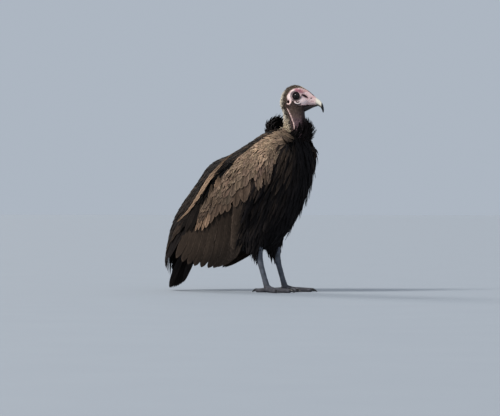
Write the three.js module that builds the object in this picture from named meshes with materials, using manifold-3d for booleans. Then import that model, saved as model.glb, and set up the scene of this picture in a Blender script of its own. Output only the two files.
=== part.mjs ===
// A hooded vulture standing upright with its wings folded, life size, as a still display model.
// Millimetres. +X is forward, +Y is the bird's left, +Z is up, and the bird stands on Z = 0.
// The body is laid out about the point on the floor between its feet, and the finished group is
// then moved so that the middle of its footprint is the origin.
import * as THREE from "three";
import { mergeVertices } from "three/addons/utils/BufferGeometryUtils.js";
import Module from "manifold-3d";

const wasm = await Module();
wasm.setup();

// ---- Driving dimensions ----
const GAP = 0.3; // clearance between two pieces that touch
const SIDES = { right: -1, left: 1 };

const HEAD_TURN = THREE.MathUtils.degToRad(20); // towards the bird's left
const HEAD_AT = new THREE.Vector3(61.7, 4.1, 449); // midway between the eyes
const EYE = { forward: 4.3, out: 15.8, radius: 8.2 };
// Hollows on each side of the head: where they lie from the middle of the eyes, their radius and
// the number of facets around them.
const HOLLOWS = [
  { forward: EYE.forward, out: 23, up: 0, radius: 9, around: 10 }, // the socket
  { forward: -14, out: 24.2, up: -13, radius: 3.2, around: 7 }, // the ear
  { forward: 38.3, out: 8.8, up: -6, radius: 1.8, around: 6 }, // the nostril
];

const WING_THICKNESS = 10;
const WING_MEETING_HALF = 0.5; // half of the slit where the two wings meet over the back
// The row of long inner feathers, from the front one to the rear one in the side view.
const SECONDARIES = {
  count: 8,
  half: 15,
  root: { x: -30, z: 190 },
  tip: { x: -46, z: 84 },
  rootStep: { x: -150, z: -30 },
  tipStep: { x: -178, z: -22 },
  sag: 22,
};
// The long outer feathers, as shares of the way along the wing and angles about it.
const PRIMARIES = { count: 5, inset: 3, from: 0.7, shortest: 0.85, longest: 0.96, lowest: 158, fan: 56 };

const TAIL = { feathers: 12, length: 222, halfWidth: 46, vaneHalf: 15, thickness: 3.2, step: 0.55 };

const LEG_OUT = 39; // from the middle plane to each leg
const LEG_FORWARD = 12; // the middle of each foot
const ANKLE = { forward: -10, height: 80 };
const FOOT_TURN = THREE.MathUtils.degToRad(8); // outwards
const TOES = [
  // angle from straight ahead (outwards is positive), length, thickness
  { name: "middle", angle: 0, length: 62, thickness: 6.4 },
  { name: "inner", angle: -34, length: 47, thickness: 6.0 },
  { name: "outer", angle: 30, length: 51, thickness: 5.8 },
  { name: "hind", angle: 184, length: 31, thickness: 5.8 },
];
const CLAW = { length: 17, radius: 3.3 };

// ---- Sections through the middle plane: back point, front point, half width ----
const section = (backX, backZ, frontX, frontZ, half) => ({ backX, backZ, frontX, frontZ, half });

const TRUNK = [
  section(26, 382, 82, 364, 28),
  section(4, 361, 90, 344, 50),
  section(-32, 329, 97, 303, 72),
  section(-72, 297, 95, 260, 84),
  section(-108, 264, 80, 213, 84),
  section(-133, 234, 57, 164, 74),
  section(-150, 204, 27, 122, 60),
  section(-158, 178, -24, 96, 45),
  section(-168, 156, -78, 88, 32),
  section(-182, 130, -134, 92, 20),
  section(-198, 102, -180, 86, 8),
];
const NECK = [
  section(26.2, 382.5, 82.2, 364.5, 28),
  section(32, 397, 86, 386, 26),
  section(31.5, 411, 82, 406, 25),
  section(28, 436, 72, 428, 21),
];
const RUFF = [
  section(4, 364, 80, 336, 46),
  section(-10, 382, 93, 350, 54),
  section(-8, 401, 108, 374, 50),
  section(6, 408, 101, 396, 39),
];
// The outer surface of both folded wings: the ridge over the back, and the wings' lower edge.
const WING_ENVELOPE = [
  section(38, 378, 90, 362, 40),
  section(2, 373, 103, 322, 72),
  section(-46, 348, 107, 262, 92),
  section(-96, 322, 78, 205, 99),
  section(-154, 300, 30, 148, 98),
  section(-194, 256, -26, 98, 87),
  section(-232, 213, -92, 66, 76),
  section(-261, 170, -150, 44, 67),
  section(-275, 118, -200, 28, 60),
  section(-280, 66, -238, 16, 53),
  section(-279, 20, -262, 3, 44),
];

// The head in its own frame: X towards the bill, the eyes' middle at the origin.
const HEAD = [
  section(-35.5, -6, -33, -25, 8),
  section(-33, 6, -30, -34, 17.5),
  section(-22, 19.5, -20, -43, 22.5),
  section(-8, 26, -6, -45, 24),
  section(6, 25.5, 8, -42, 23.5),
  section(17, 20.2, 18, -36, 18.5),
  section(25.5, 14, 24.5, -21.2, 13.2),
  section(33, 8, 33, -21, 10),
  section(40, 2.5, 40.5, -20.4, 8.2),
  section(46, -2.4, 46, -20.6, 7.2),
];
const UPPER_BILL = [
  section(46.4, -2.8, 46.4, -20.8, 7.2),
  section(52.5, -7.6, 52, -23, 6.2),
  section(58.4, -12.4, 57, -25.8, 5.2),
  section(62.7, -18.8, 58.9, -28, 4.2),
  section(65, -27.5, 60.6, -31.4, 3),
  section(65, -34, 61.9, -35.2, 1.7),
  section(64.3, -37.4, 63, -37.6, 0.5),
];
const LOWER_BILL = [
  section(19, -21.8, 19, -37, 10.5),
  section(29, -21.8, 29.2, -31.6, 8.4),
  section(39.5, -21.4, 39.6, -26.6, 6.2),
  section(47.5, -22.6, 47.5, -25.8, 4.6),
  section(52.5, -24.8, 52.5, -26, 2.6),
];

// The bare upper back between the wings from above: X, half width, and the heights it is cut between.
const MANTLE = [
  [-118, 1],
  [-70, 20],
  [0, 40],
  [60, 52],
];
const MANTLE_FLOOR = 330;
const MANTLE_DEPTH = 200;
const BREAST = [140, 56]; // the wings leave the same space in front of the shoulders

// Between the wings the breast, belly and vent lie bare: the share of the wings' half width there.
const BARE_BREAST = 0.74;
const BARE_VENT = 0.5;

// Each thigh with its feather trousers, from inside the trunk to the ankle.
const legStation = (x, out, z, wide, tall) => ({ at: new THREE.Vector3(x, -out, z), wide, tall });
const THIGH = [
  legStation(-40, 24, 214, 26, 40),
  legStation(-32, 33, 172, 34, 46),
  legStation(-26, 38, 136, 30, 35),
  legStation(-22, 39, 106, 23, 24),
  legStation(-17, 39, 82, 14, 14.5),
  legStation(-12, 39, 62, 8.5, 10),
];
const SHANK = [
  legStation(ANKLE.forward + 3, LEG_OUT, ANKLE.height + 16, 6.5, 7),
  legStation(ANKLE.forward - 1, LEG_OUT, ANKLE.height, 8, 9.5),
  legStation(ANKLE.forward + 5, LEG_OUT, ANKLE.height - 20, 6, 6.8),
  legStation(LEG_FORWARD - 8, LEG_OUT, 32, 5.8, 6.4),
  legStation(LEG_FORWARD - 2, LEG_OUT, 15, 7.4, 7),
];

// ---- Building closed surfaces ----

/** A closed surface through rings of points. place(along, angle) is a point; along runs 0 to 1. */
function ringSurface(place, rings, sides) {
  const position = [];
  const index = [];
  for (let ring = 0; ring <= rings; ring += 1) {
    for (let side = 0; side < sides; side += 1) {
      position.push(...place(ring / rings, (side / sides) * 2 * Math.PI).toArray());
    }
  }
  const at = (ring, side) => ring * sides + (side % sides);
  for (let ring = 0; ring < rings; ring += 1) {
    for (let side = 0; side < sides; side += 1) {
      const corners = [at(ring, side), at(ring, side + 1), at(ring + 1, side + 1), at(ring + 1, side)];
      // the diagonals lean the opposite way on the other half, so that the surface mirrors exactly
      const lean = Math.cos(((side + 0.5) / sides) * 2 * Math.PI) > 0 ? 0 : 1;
      const [a, b, c, d] = [0, 1, 2, 3].map((corner) => corners[(corner + lean) % 4]);
      index.push(a, b, d, b, c, d);
    }
  }
  for (let side = 1; side < sides - 1; side += 1) {
    index.push(at(0, 0), at(0, side + 1), at(0, side));
    index.push(at(rings, 0), at(rings, side), at(rings, side + 1));
  }
  return new THREE.BufferGeometry()
    .setAttribute("position", new THREE.Float32BufferAttribute(position, 3))
    .setIndex(index);
}

/** A manifold-3d solid from a three.js geometry, with its faces pointing out. */
function toSolid(geometry) {
  const bare = geometry.clone();
  bare.deleteAttribute("normal");
  bare.deleteAttribute("uv");
  const merged = mergeVertices(bare, 1e-4);
  const make = (triVerts) =>
    new wasm.Manifold(
      new wasm.Mesh({ numProp: 3, vertProperties: merged.attributes.position.array, triVerts }),
    );
  const triVerts = new Uint32Array(merged.index.array);
  const made = make(triVerts);
  return made.volume() >= 0 ? made : make(triVerts.reverse());
}

/** The three.js geometry of a manifold-3d solid. */
function toGeometry(solid) {
  const mesh = solid.getMesh();
  return new THREE.BufferGeometry()
    .setAttribute("position", new THREE.BufferAttribute(mesh.vertProperties, 3))
    .setIndex(new THREE.BufferAttribute(mesh.triVerts, 1));
}

const joined = (solids) => solids.reduce((whole, next) => whole.add(next));
const cut = (solid, ...tools) => tools.reduce((rest, tool) => rest.subtract(tool), solid);

/** The same solid on the other side of the middle plane. */
function mirrored(solid) {
  return toSolid(toGeometry(solid).scale(1, -1, 1));
}

const signedPower = (value, power) => Math.sign(value) * Math.abs(value) ** power;

const SIDEWAYS = new THREE.Vector3(0, 1, 0);

/** How far a grown loft reaches past its first or last section. */
const overshoot = (along, grow) => (along === 0 ? -grow : along === 1 ? grow : 0);

/**
 * The surface through sections of the middle plane, each an oval from its back to its front point, as
 * a function of the share of the way along them and of an angle, which is a quarter turn at the back.
 * grow widens it on every side, and squareness under 1 fills out the ovals.
 */
function sectionSurface(sections, { grow = 0, squareness = 1 } = {}) {
  const curve = (x, z) =>
    new THREE.CatmullRomCurve3(sections.map((s) => new THREE.Vector3(s[x], 0, s[z])));
  const back = curve("backX", "backZ");
  const front = curve("frontX", "frontZ");
  const width = new THREE.CatmullRomCurve3(sections.map((s, i) => new THREE.Vector3(s.half, i, 0)));
  return (along, angle) => {
    const rear = back.getPoint(along);
    const fore = front.getPoint(along);
    const centre = rear.clone().add(fore).multiplyScalar(0.5);
    const reach = rear.clone().sub(fore).multiplyScalar(0.5);
    reach.setLength(reach.length() + grow);
    const half = width.getPoint(along).x + grow;
    const ahead = reach.clone().cross(SIDEWAYS).normalize();
    const sense = Math.sign(ahead.dot(back.getTangent(along).add(front.getTangent(along))));
    const point = centre.addScaledVector(reach, signedPower(Math.sin(angle), squareness));
    point.addScaledVector(ahead, sense * overshoot(along, grow));
    point.y += half * signedPower(Math.cos(angle), squareness);
    return point;
  };
}

/** A solid swept through sections of the middle plane; place moves each of its points. */
function sectionLoft(sections, { rings, sides, grow, squareness, place = (point) => point }) {
  const surface = sectionSurface(sections, { grow, squareness });
  return toSolid(ringSurface((along, angle) => place(surface(along, angle)), rings, sides));
}

/** A solid along a smooth line of stations { at, wide, tall }; across points sideways at every one. */
function limb(stations, across, { rings, sides, grow = 0 }) {
  const line = new THREE.CatmullRomCurve3(stations.map((s) => s.at));
  const sizes = new THREE.CatmullRomCurve3(
    stations.map((s, i) => new THREE.Vector3(s.wide, s.tall, i)),
  );
  return toSolid(
    ringSurface(
      (along, angle) => {
        const tangent = line.getTangent(along);
        const side = across.clone().addScaledVector(tangent, -across.dot(tangent)).normalize();
        const up = tangent.clone().cross(side);
        const size = sizes.getPoint(along);
        return line
          .getPoint(along)
          .addScaledVector(tangent, overshoot(along, grow))
          .addScaledVector(side, (size.x + grow) * Math.cos(angle))
          .addScaledVector(up, (size.y + grow) * Math.sin(angle));
      },
      rings,
      sides,
    ),
  );
}

/** A box between two corners. */
function block(low, high) {
  const size = high.clone().sub(low);
  const middle = high.clone().add(low).multiplyScalar(0.5);
  const box = new THREE.BoxGeometry(size.x, size.y, size.z);
  return toSolid(box.translate(middle.x, middle.y, middle.z));
}

/** A closed outline of [x, z] points in the side view, drawn smoothly, as a slab on the bird's right. */
function rightSlab(points, smooth = true) {
  const REACH = 200;
  const outline = new THREE.Shape();
  const [first, ...rest] = points.map(([x, z]) => new THREE.Vector2(x, z));
  outline.moveTo(first.x, first.y);
  if (smooth) outline.splineThru([...rest, first]);
  else rest.forEach((p) => outline.lineTo(p.x, p.y));
  const slab = new THREE.ExtrudeGeometry(outline, {
    depth: REACH,
    bevelEnabled: false,
    curveSegments: smooth ? 3 : 1,
  });
  return toSolid(slab.rotateX(Math.PI / 2).translate(0, -WING_MEETING_HALF, 0));
}

/** A blunt feather seen from the side, from its root to its tip, as a slab on the bird's right. */
function featherSlab(root, tip, half) {
  const along = tip.clone().sub(root);
  const across = new THREE.Vector2(-along.y, along.x).setLength(half);
  const TIP_STEPS = 4;
  const shoulder = 1 - (1.1 * half) / along.length();
  const at = (share, side) => root.clone().addScaledVector(along, share).addScaledVector(across, side);
  const rim = [at(0, 0.7), at(shoulder, 1)];
  for (let step = 1; step < TIP_STEPS; step += 1) {
    const angle = (step / TIP_STEPS) * Math.PI;
    rim.push(at(shoulder + (1 - shoulder) * Math.sin(angle), Math.cos(angle)));
  }
  rim.push(at(shoulder, -1), at(0, -0.7));
  return rightSlab(rim.map((p) => [p.x, p.y]), false);
}

// ---- Head ----

const headPose = new THREE.Matrix4().makeRotationZ(HEAD_TURN).setPosition(HEAD_AT);
const inHead = (point) => point.applyMatrix4(headPose);

/** A ball in the head, its poles pointing out to the sides. */
function headBall(side, { forward, out, up = 0, radius }, around, along) {
  const ball = new THREE.SphereGeometry(radius, around, along);
  ball.rotateX(Math.PI / 2).translate(forward, side * out, up);
  return toSolid(ball.applyMatrix4(headPose));
}

const eyeball = (side, grow = 0) =>
  headBall(side, { ...EYE, radius: EYE.radius + grow }, 12, 7);

function makeHead() {
  const skull = (grow = 0) =>
    sectionLoft(HEAD, { rings: 14, sides: 16, grow, squareness: 0.9, place: inHead });
  const upper = (grow = 0) =>
    sectionLoft(UPPER_BILL, { rings: 12, sides: 12, grow, squareness: 0.85, place: inHead });
  const lower = sectionLoft(LOWER_BILL, { rings: 6, sides: 12, squareness: 0.85, place: inHead });
  const hollows = Object.values(SIDES).flatMap((side) => [
    eyeball(side, GAP),
    ...HOLLOWS.map((hollow) => headBall(side, hollow, hollow.around, 5)),
  ]);
  return {
    head: cut(skull(), ...hollows),
    headRoom: skull(GAP),
    bill_upper: cut(upper(), skull(GAP)),
    bill_lower: cut(lower, skull(GAP), upper(GAP)),
  };
}

// ---- Trunk, neck and ruff ----

const wingEnvelope = (grow) => sectionLoft(WING_ENVELOPE, { rings: 14, sides: 20, grow });

/** The space in front of and under the wings' middle, where they leave the underside bare. */
function bareUnderside() {
  const last = WING_ENVELOPE.length - 1;
  const sections = WING_ENVELOPE.map(({ backX, backZ, frontX, frontZ, half }, i) => ({
    backX: (backX + frontX) / 2,
    backZ: (backZ + frontZ) / 2,
    frontX: frontX + (frontX - backX) / 4,
    frontZ: frontZ + (frontZ - backZ) / 4,
    half: half * THREE.MathUtils.lerp(BARE_BREAST, BARE_VENT, Math.min(1, (2 * i) / last)),
  }));
  return sectionLoft(sections, { rings: 14, sides: 10, squareness: 0.8 });
}

/** Between the folded wings the upper back lies bare: an upright prism over its outline from above. */
function mantlePrism(plan, grow = 0) {
  const corners = plan.map(([x, half]) => [x - grow, half + grow]);
  const outline = [...corners, ...corners.map(([x, half]) => [x, -half]).reverse()];
  const shape = new THREE.Shape(outline.map(([x, y]) => new THREE.Vector2(x, y)));
  const prism = new THREE.ExtrudeGeometry(shape, { depth: MANTLE_DEPTH, bevelEnabled: false });
  return toSolid(prism.translate(0, 0, MANTLE_FLOOR));
}

function makeBody(headRoom) {
  const torso = (grow) => sectionLoft(TRUNK, { rings: 14, sides: 20, grow, squareness: 0.95 });
  const neck = (grow = 0) => sectionLoft(NECK, { rings: 5, sides: 16, grow });
  // The ruff's plumes make a ragged rim, which lies lower on the right, where the neck is stretched.
  const RUFF_PLUMES = 14;
  const RIM_DROP = 15;
  const ragged = (point) => {
    const centre = new THREE.Vector3(50, 0, point.z);
    const out = point.clone().sub(centre);
    const bearing = Math.atan2(out.y, out.x);
    const rim = THREE.MathUtils.smoothstep(point.z, 352, 404);
    centre.z -= RIM_DROP * rim * THREE.MathUtils.smoothstep(-out.y, 0, 45);
    return centre.addScaledVector(out, 1 + 0.07 * rim * Math.cos(RUFF_PLUMES * bearing));
  };
  const ruff = (grow = 0) => sectionLoft(RUFF, { rings: 3, sides: 28, grow, place: ragged });
  const ruffRoom = ruff(GAP);
  const torsoRoom = torso(GAP);
  const back = cut(wingEnvelope(0).intersect(mantlePrism(MANTLE)), ruffRoom, neck(GAP));
  return {
    trunk: torso(0).add(back),
    torsoRoom,
    neck: cut(neck(), headRoom),
    ruff: cut(ruff(), torsoRoom, neck(GAP), headRoom),
    ruffRoom: ruffRoom.add(mirrored(ruffRoom)),
  };
}

// ---- Tail ----

const TAIL_LINE = new THREE.CatmullRomCurve3([
  new THREE.Vector3(-150, 0, 176),
  new THREE.Vector3(-196, 0, 132),
  new THREE.Vector3(-240, 0, 72),
  new THREE.Vector3(-272, 0, -1.5),
]);

/** One tail feather; share runs from -1, the outermost on the right, to 1, on the left. */
function tailFeather(share, grow = 0) {
  const shorter = 16 * share * share;
  const layer = TAIL.thickness * TAIL.step * (TAIL.feathers / 2) * (1 - Math.abs(share));
  const reach = 1 - shorter / TAIL.length;
  const stations = [0, 0.35, 0.7, 0.93, 1].map((along) => {
    const at = TAIL_LINE.getPoint(along * reach);
    const tangent = TAIL_LINE.getTangent(along * reach);
    const spread = 0.35 + 0.65 * along;
    at.y = share * spread * (TAIL.halfWidth - TAIL.vaneHalf);
    at.addScaledVector(new THREE.Vector3(tangent.z, 0, -tangent.x), layer);
    const vane = TAIL.vaneHalf * (along === 1 ? 0.5 : 0.6 + 0.4 * Math.min(1, along * 1.6));
    return { at, wide: vane, tall: TAIL.thickness / 2 };
  });
  return limb(stations, SIDEWAYS, { rings: 3, sides: 4, grow });
}

function makeTail(torsoRoom, floorCut) {
  const shares = Array.from(
    { length: TAIL.feathers },
    (_, i) => (2 * i) / (TAIL.feathers - 1) - 1,
  );
  const fan = (grow = 0) => joined(shares.map((share) => tailFeather(share, grow)));
  return { tail: cut(fan(), torsoRoom, floorCut), tailRoom: fan(GAP) };
}

// ---- Wings ----

/** The outline of the arm, the coverts and the long inner feathers in the side view. */
const WING_OUTLINE = [
  [86, 300],
  [96, 336],
  [62, 374],
  [0, 392],
  [-120, 372],
  [-230, 290],
  [-300, 158],
  [-288, 108],
  [-262, 92],
  [-196, 84],
  [-120, 96],
  [-44, 140],
  [-22, 177],
  [10, 207],
  [42, 236],
  [66, 268],
];

function makeWing(ruffRoom, torsoRoom, tailRoom, thighRoom) {
  const arm = rightSlab(WING_OUTLINE);
  // The tips of the secondaries hang below the coverts in a row.
  const secondaries = Array.from({ length: SECONDARIES.count }, (_, i) => {
    const { root, tip, rootStep, tipStep, sag, half } = SECONDARIES;
    const share = i / (SECONDARIES.count - 1);
    const droop = sag * Math.sin(share * Math.PI);
    return featherSlab(
      new THREE.Vector2(root.x + rootStep.x * share, root.z + rootStep.z * share),
      new THREE.Vector2(tip.x + tipStep.x * share, tip.z + tipStep.z * share - droop),
      half,
    );
  });
  const whole = joined([arm, ...secondaries]);
  const layer = cut(wingEnvelope(0), wingEnvelope(-WING_THICKNESS));
  const bareBack = mantlePrism([...MANTLE, BREAST], GAP);
  const rooms = [bareBack, bareUnderside(), ruffRoom, torsoRoom, tailRoom, thighRoom];
  const wing = cut(layer.intersect(whole), ...rooms);
  // The long outer feathers come out from under the inner ones and run down beside the tail.
  const surface = sectionSurface(WING_ENVELOPE, { grow: -PRIMARIES.inset });
  const primaries = Array.from({ length: PRIMARIES.count }, (_, i) => {
    const share = i / (PRIMARIES.count - 1); // 0 is the lowest one on the side, 1 lies along the back
    const angle = THREE.MathUtils.degToRad(PRIMARIES.lowest - PRIMARIES.fan * share);
    const end = THREE.MathUtils.lerp(PRIMARIES.shortest, PRIMARIES.longest, share);
    const on = (along, turn = 0) => surface(along, angle + turn);
    const edge = on(0.8, 0.1).sub(on(0.8, -0.1));
    const stations = [
      { at: on(PRIMARIES.from), wide: 10, tall: 2 },
      { at: on((PRIMARIES.from + end) / 2), wide: 11, tall: 2 },
      { at: on(end - 0.02), wide: 9, tall: 1.8 },
      { at: on(end), wide: 3, tall: 1.2 },
    ];
    return limb(stations, edge, { rings: 3, sides: 4 });
  });
  const clear = whole.translate([-GAP, 0, -GAP]);
  return { wing, tips: cut(joined(primaries), clear, tailRoom, torsoRoom) };
}

// ---- Legs ----

const legBase = new THREE.Vector3(LEG_FORWARD, -LEG_OUT, 0);

function makeThigh(torsoRoom, shankRoom) {
  const thigh = (grow = 0) => limb(THIGH, SIDEWAYS, { rings: 6, sides: 14, grow });
  return { thigh: cut(thigh(), torsoRoom, shankRoom), thighRoom: thigh(GAP) };
}

const shank = (grow = 0) => limb(SHANK, SIDEWAYS, { rings: 6, sides: 10, grow });

/** The direction and the line of stations of one toe of the right foot. */
function toeLine(toe) {
  const bearing = FOOT_TURN + THREE.MathUtils.degToRad(toe.angle);
  const ahead = new THREE.Vector3(Math.cos(bearing), -Math.sin(bearing), 0);
  const half = toe.thickness;
  const PADS = 3;
  const stations = [{ at: legBase.clone().setZ(half + 4), wide: half, tall: half }];
  for (let pad = 1; pad <= PADS; pad += 1) {
    // each joint of the toe is a little lower than the one behind it, on its own pad
    const share = pad / PADS;
    const thick = half * (1.02 - 0.22 * share);
    stations.push({
      at: legBase.clone().addScaledVector(ahead, toe.length * share).setZ(thick - 1),
      wide: thick,
      tall: thick,
    });
  }
  return { ahead, stations };
}

function toe(shape, grow = 0) {
  const { ahead, stations } = toeLine(shape);
  const sideways = new THREE.Vector3(-ahead.y, ahead.x, 0);
  return limb(stations, sideways, { rings: 3, sides: 6, grow });
}

function claw(shape) {
  const { ahead, stations } = toeLine(shape);
  const root = stations[stations.length - 1].at;
  const at = (along, height) => root.clone().addScaledVector(ahead, along * CLAW.length).setZ(height);
  const sizes = [
    { at: at(-0.2, root.z + 1), wide: CLAW.radius, tall: CLAW.radius },
    { at: at(0.4, root.z + 1.4), wide: CLAW.radius * 0.85, tall: CLAW.radius * 0.95 },
    { at: at(0.8, root.z - 1), wide: CLAW.radius * 0.55, tall: CLAW.radius * 0.65 },
    { at: at(1.05, 0.8), wide: 0.5, tall: 0.6 },
  ];
  const sideways = new THREE.Vector3(-ahead.y, ahead.x, 0);
  return cut(limb(sizes, sideways, { rings: 4, sides: 5 }), toe(shape, GAP));
}

function makeFoot(floorCut) {
  const pad = limb(
    [
      legStation(LEG_FORWARD - 9, LEG_OUT, 6, 8, 7),
      legStation(LEG_FORWARD + 12, LEG_OUT, 6, 9, 7),
    ],
    SIDEWAYS,
    { rings: 2, sides: 10 },
  );
  const foot = joined([pad, ...TOES.map((shape) => toe(shape))]);
  return cut(foot, shank(GAP), floorCut);
}

// ---- Assembly ----

const finish = (color, roughness, metalness = 0) =>
  new THREE.MeshStandardMaterial({ color, roughness, metalness });
const MATERIALS = {
  skin: finish(0xd9a9a2, 0.6),
  down: finish(0xb3a797, 0.95),
  plumage: finish(0x1c1a19, 0.9),
  wing: finish(0x6b5443, 0.85),
  quill: finish(0x221d1a, 0.75),
  leg: finish(0x5f6670, 0.65),
  horn: finish(0xd8cbb2, 0.4),
  claw: finish(0x17171a, 0.35),
  eye: finish(0x120c0a, 0.08),
};

const bird = new THREE.Group();

function place(name, solid, material) {
  const mesh = new THREE.Mesh(toGeometry(solid), MATERIALS[material]);
  mesh.name = name;
  bird.add(mesh);
}

const FAR = 600;
const floorCut = block(new THREE.Vector3(-FAR, -FAR, -FAR), new THREE.Vector3(FAR, FAR, 0));

const headParts = makeHead();
const body = makeBody(headParts.headRoom);
const tailParts = makeTail(body.torsoRoom, floorCut);
const leg = makeThigh(body.torsoRoom, shank(GAP));
const wingParts = makeWing(body.ruffRoom, body.torsoRoom, tailParts.tailRoom, leg.thighRoom);
const foot = makeFoot(floorCut);

place("head", headParts.head, "skin");
place("bill_upper", headParts.bill_upper, "horn");
place("bill_lower", headParts.bill_lower, "horn");
place("neck", body.neck, "down");
place("ruff", body.ruff, "plumage");
place("trunk", body.trunk, "plumage");
place("tail", tailParts.tail, "quill");

for (const [name, side] of Object.entries(SIDES)) {
  const sided = (solid) => (side === SIDES.right ? solid : mirrored(solid));
  place(`eye_${name}`, eyeball(side), "eye");
  place(`wing_${name}`, sided(wingParts.wing), "wing");
  place(`primaries_${name}`, sided(wingParts.tips), "quill");
  place(`thigh_${name}`, sided(leg.thigh), "plumage");
  place(`shank_${name}`, sided(shank()), "leg");
  place(`foot_${name}`, sided(foot), "leg");
  for (const shape of TOES) place(`claw_${shape.name}_${name}`, sided(claw(shape)), "claw");
}

// The middle of the footprint becomes the origin, with the lowest flats on Z = 0.
const extent = new THREE.Box3().setFromObject(bird);
const middle = extent.getCenter(new THREE.Vector3());
bird.position.set(-middle.x, -middle.y, -extent.min.z);

const group = new THREE.Group();
group.add(bird);
export default group;
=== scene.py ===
"""A hooded vulture standing at rest: skin, horn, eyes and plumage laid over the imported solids."""

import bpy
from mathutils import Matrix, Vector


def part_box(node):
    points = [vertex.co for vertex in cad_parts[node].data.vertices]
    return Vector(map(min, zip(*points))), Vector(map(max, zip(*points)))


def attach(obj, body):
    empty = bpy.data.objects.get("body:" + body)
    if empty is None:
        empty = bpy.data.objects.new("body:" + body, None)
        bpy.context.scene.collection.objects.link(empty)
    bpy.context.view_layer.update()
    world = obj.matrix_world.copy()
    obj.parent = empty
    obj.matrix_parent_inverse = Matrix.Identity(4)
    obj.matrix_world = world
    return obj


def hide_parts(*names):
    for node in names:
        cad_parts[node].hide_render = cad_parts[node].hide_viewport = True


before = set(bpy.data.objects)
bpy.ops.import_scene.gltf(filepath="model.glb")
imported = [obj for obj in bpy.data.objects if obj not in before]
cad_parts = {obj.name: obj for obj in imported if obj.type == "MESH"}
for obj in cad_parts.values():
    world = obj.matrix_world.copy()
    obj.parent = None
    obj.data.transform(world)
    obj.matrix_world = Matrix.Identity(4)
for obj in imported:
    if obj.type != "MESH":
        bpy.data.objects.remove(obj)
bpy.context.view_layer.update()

import logging
import math
from contextlib import contextmanager
from dataclasses import dataclass, field
from enum import Enum
from itertools import product
from typing import Callable, Iterator, Sequence

import bmesh
import bpy
import numpy as np
from bpy.types import Material, Mesh, Node, NodeSocket, NodeTree, Object
from mathutils import Vector
from mathutils.bvhtree import BVHTree

log = logging.getLogger("vulture")

Array = np.ndarray
Flow = Callable[[Array], Array]
Inputs = dict[str | int, object]
Table = Sequence[Sequence[float]]

MM = 0.001
ORIGIN_SHIFT = 79.508  # the solids' origin lies this far behind the point between the feet, in mm
BODY = "root"
BAKE_MAP = "OFBake"
VANE_MAP = "vane"
BARB_MAP = "barbs"
TUFT_PATCH = 0.003  # the size of one feather's patch on the unwrapped skin
TRIAL_AREA = 4.5e-6  # in square metres, for each place tried when feathers are scattered
LIFT_EASE = 1.3  # above 1, a feather rises late along its length


class Side(Enum):
    """The two sides of the bird, by the sign of Y."""

    RIGHT = -1
    LEFT = 1

    @property
    def label(self) -> str:
        """The side's name, as the solids spell it."""
        return self.name.lower()


# ---- Small helpers ----


def linear(red: float, green: float, blue: float) -> Array:
    """A display colour of 0 to 255 as linear light."""
    value = np.array([red, green, blue], dtype=float) / 255
    return np.where(value <= 0.04045, value / 12.92, ((value + 0.055) / 1.055) ** 2.4)


def ramp(low: float, high: float, value: Array) -> Array:
    """0 below low, 1 above high and a smooth rise between them."""
    share = np.clip((value - low) / (high - low), 0.0, 1.0)
    return share * share * (3 - 2 * share)


def unit(vectors: Array) -> Array:
    """The vectors of the last axis at length one."""
    return vectors / np.maximum(np.linalg.norm(vectors, axis=-1, keepdims=True), 1e-12)


def mix(a: Array, b: Array, share: Array) -> Array:
    """Colour a turning to colour b by a share for each point."""
    share = np.asarray(share)[..., None]
    return a * (1 - share) + b * share


def to_design(points: Array) -> Array:
    """Frame metres to millimetres from the point between the feet."""
    return np.asarray(points) * 1000 - np.array([ORIGIN_SHIFT, 0.0, 0.0])


def from_design(points: Array) -> Array:
    """Millimetres from the point between the feet to frame metres."""
    return (np.asarray(points, dtype=float) + np.array([ORIGIN_SHIFT, 0.0, 0.0])) * MM


def outside(points: Array, outline: Table) -> Array:
    """How far 2-D points lie outside a closed outline.

    Args:
        points: An array of points, its last axis the two coordinates.
        outline: The corners of the outline, in order.

    Returns:
        The distance to the outline, negative inside it.
    """
    corners = np.asarray(outline, dtype=float)
    nearest = np.full(points.shape[:-1], np.inf)
    inside = np.zeros(points.shape[:-1], dtype=bool)
    for a, b in zip(corners, np.roll(corners, -1, axis=0)):
        edge = b - a
        offset = points - a
        share = np.clip((offset @ edge) / (edge @ edge), 0, 1)
        nearest = np.minimum(nearest, np.linalg.norm(offset - share[..., None] * edge, axis=-1))
        if a[1] != b[1]:
            crosses = (a[1] > points[..., 1]) != (b[1] > points[..., 1])
            at = edge[0] * (points[..., 1] - a[1]) / edge[1] + a[0]
            inside ^= crosses & (points[..., 0] < at)
    return np.where(inside, -nearest, nearest)


class Ripples:
    """A smooth seeded field between about -1 and 1, from crossing waves."""

    def __init__(self, seed: int, wavelength: float, waves: int = 12) -> None:
        """Draws the waves.

        Args:
            seed: Fixes their directions and phases.
            wavelength: Their middling length, in the points' own unit.
            waves: How many there are.
        """
        rng = np.random.default_rng(seed)
        self.rays = unit(rng.normal(size=(waves, 3))) * (2 * np.pi / wavelength)
        self.rays *= rng.uniform(0.6, 1.5, (waves, 1))
        self.phases = rng.uniform(0, 2 * np.pi, waves)

    def __call__(self, points: Array) -> Array:
        """The field at an array of points."""
        total = np.zeros(points.shape[:-1], dtype=points.dtype)
        for ray, phase in zip(self.rays, self.phases):
            total += np.sin(points @ ray.astype(points.dtype) + phase)
        return total / math.sqrt(len(self.phases) * 0.5)


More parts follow.
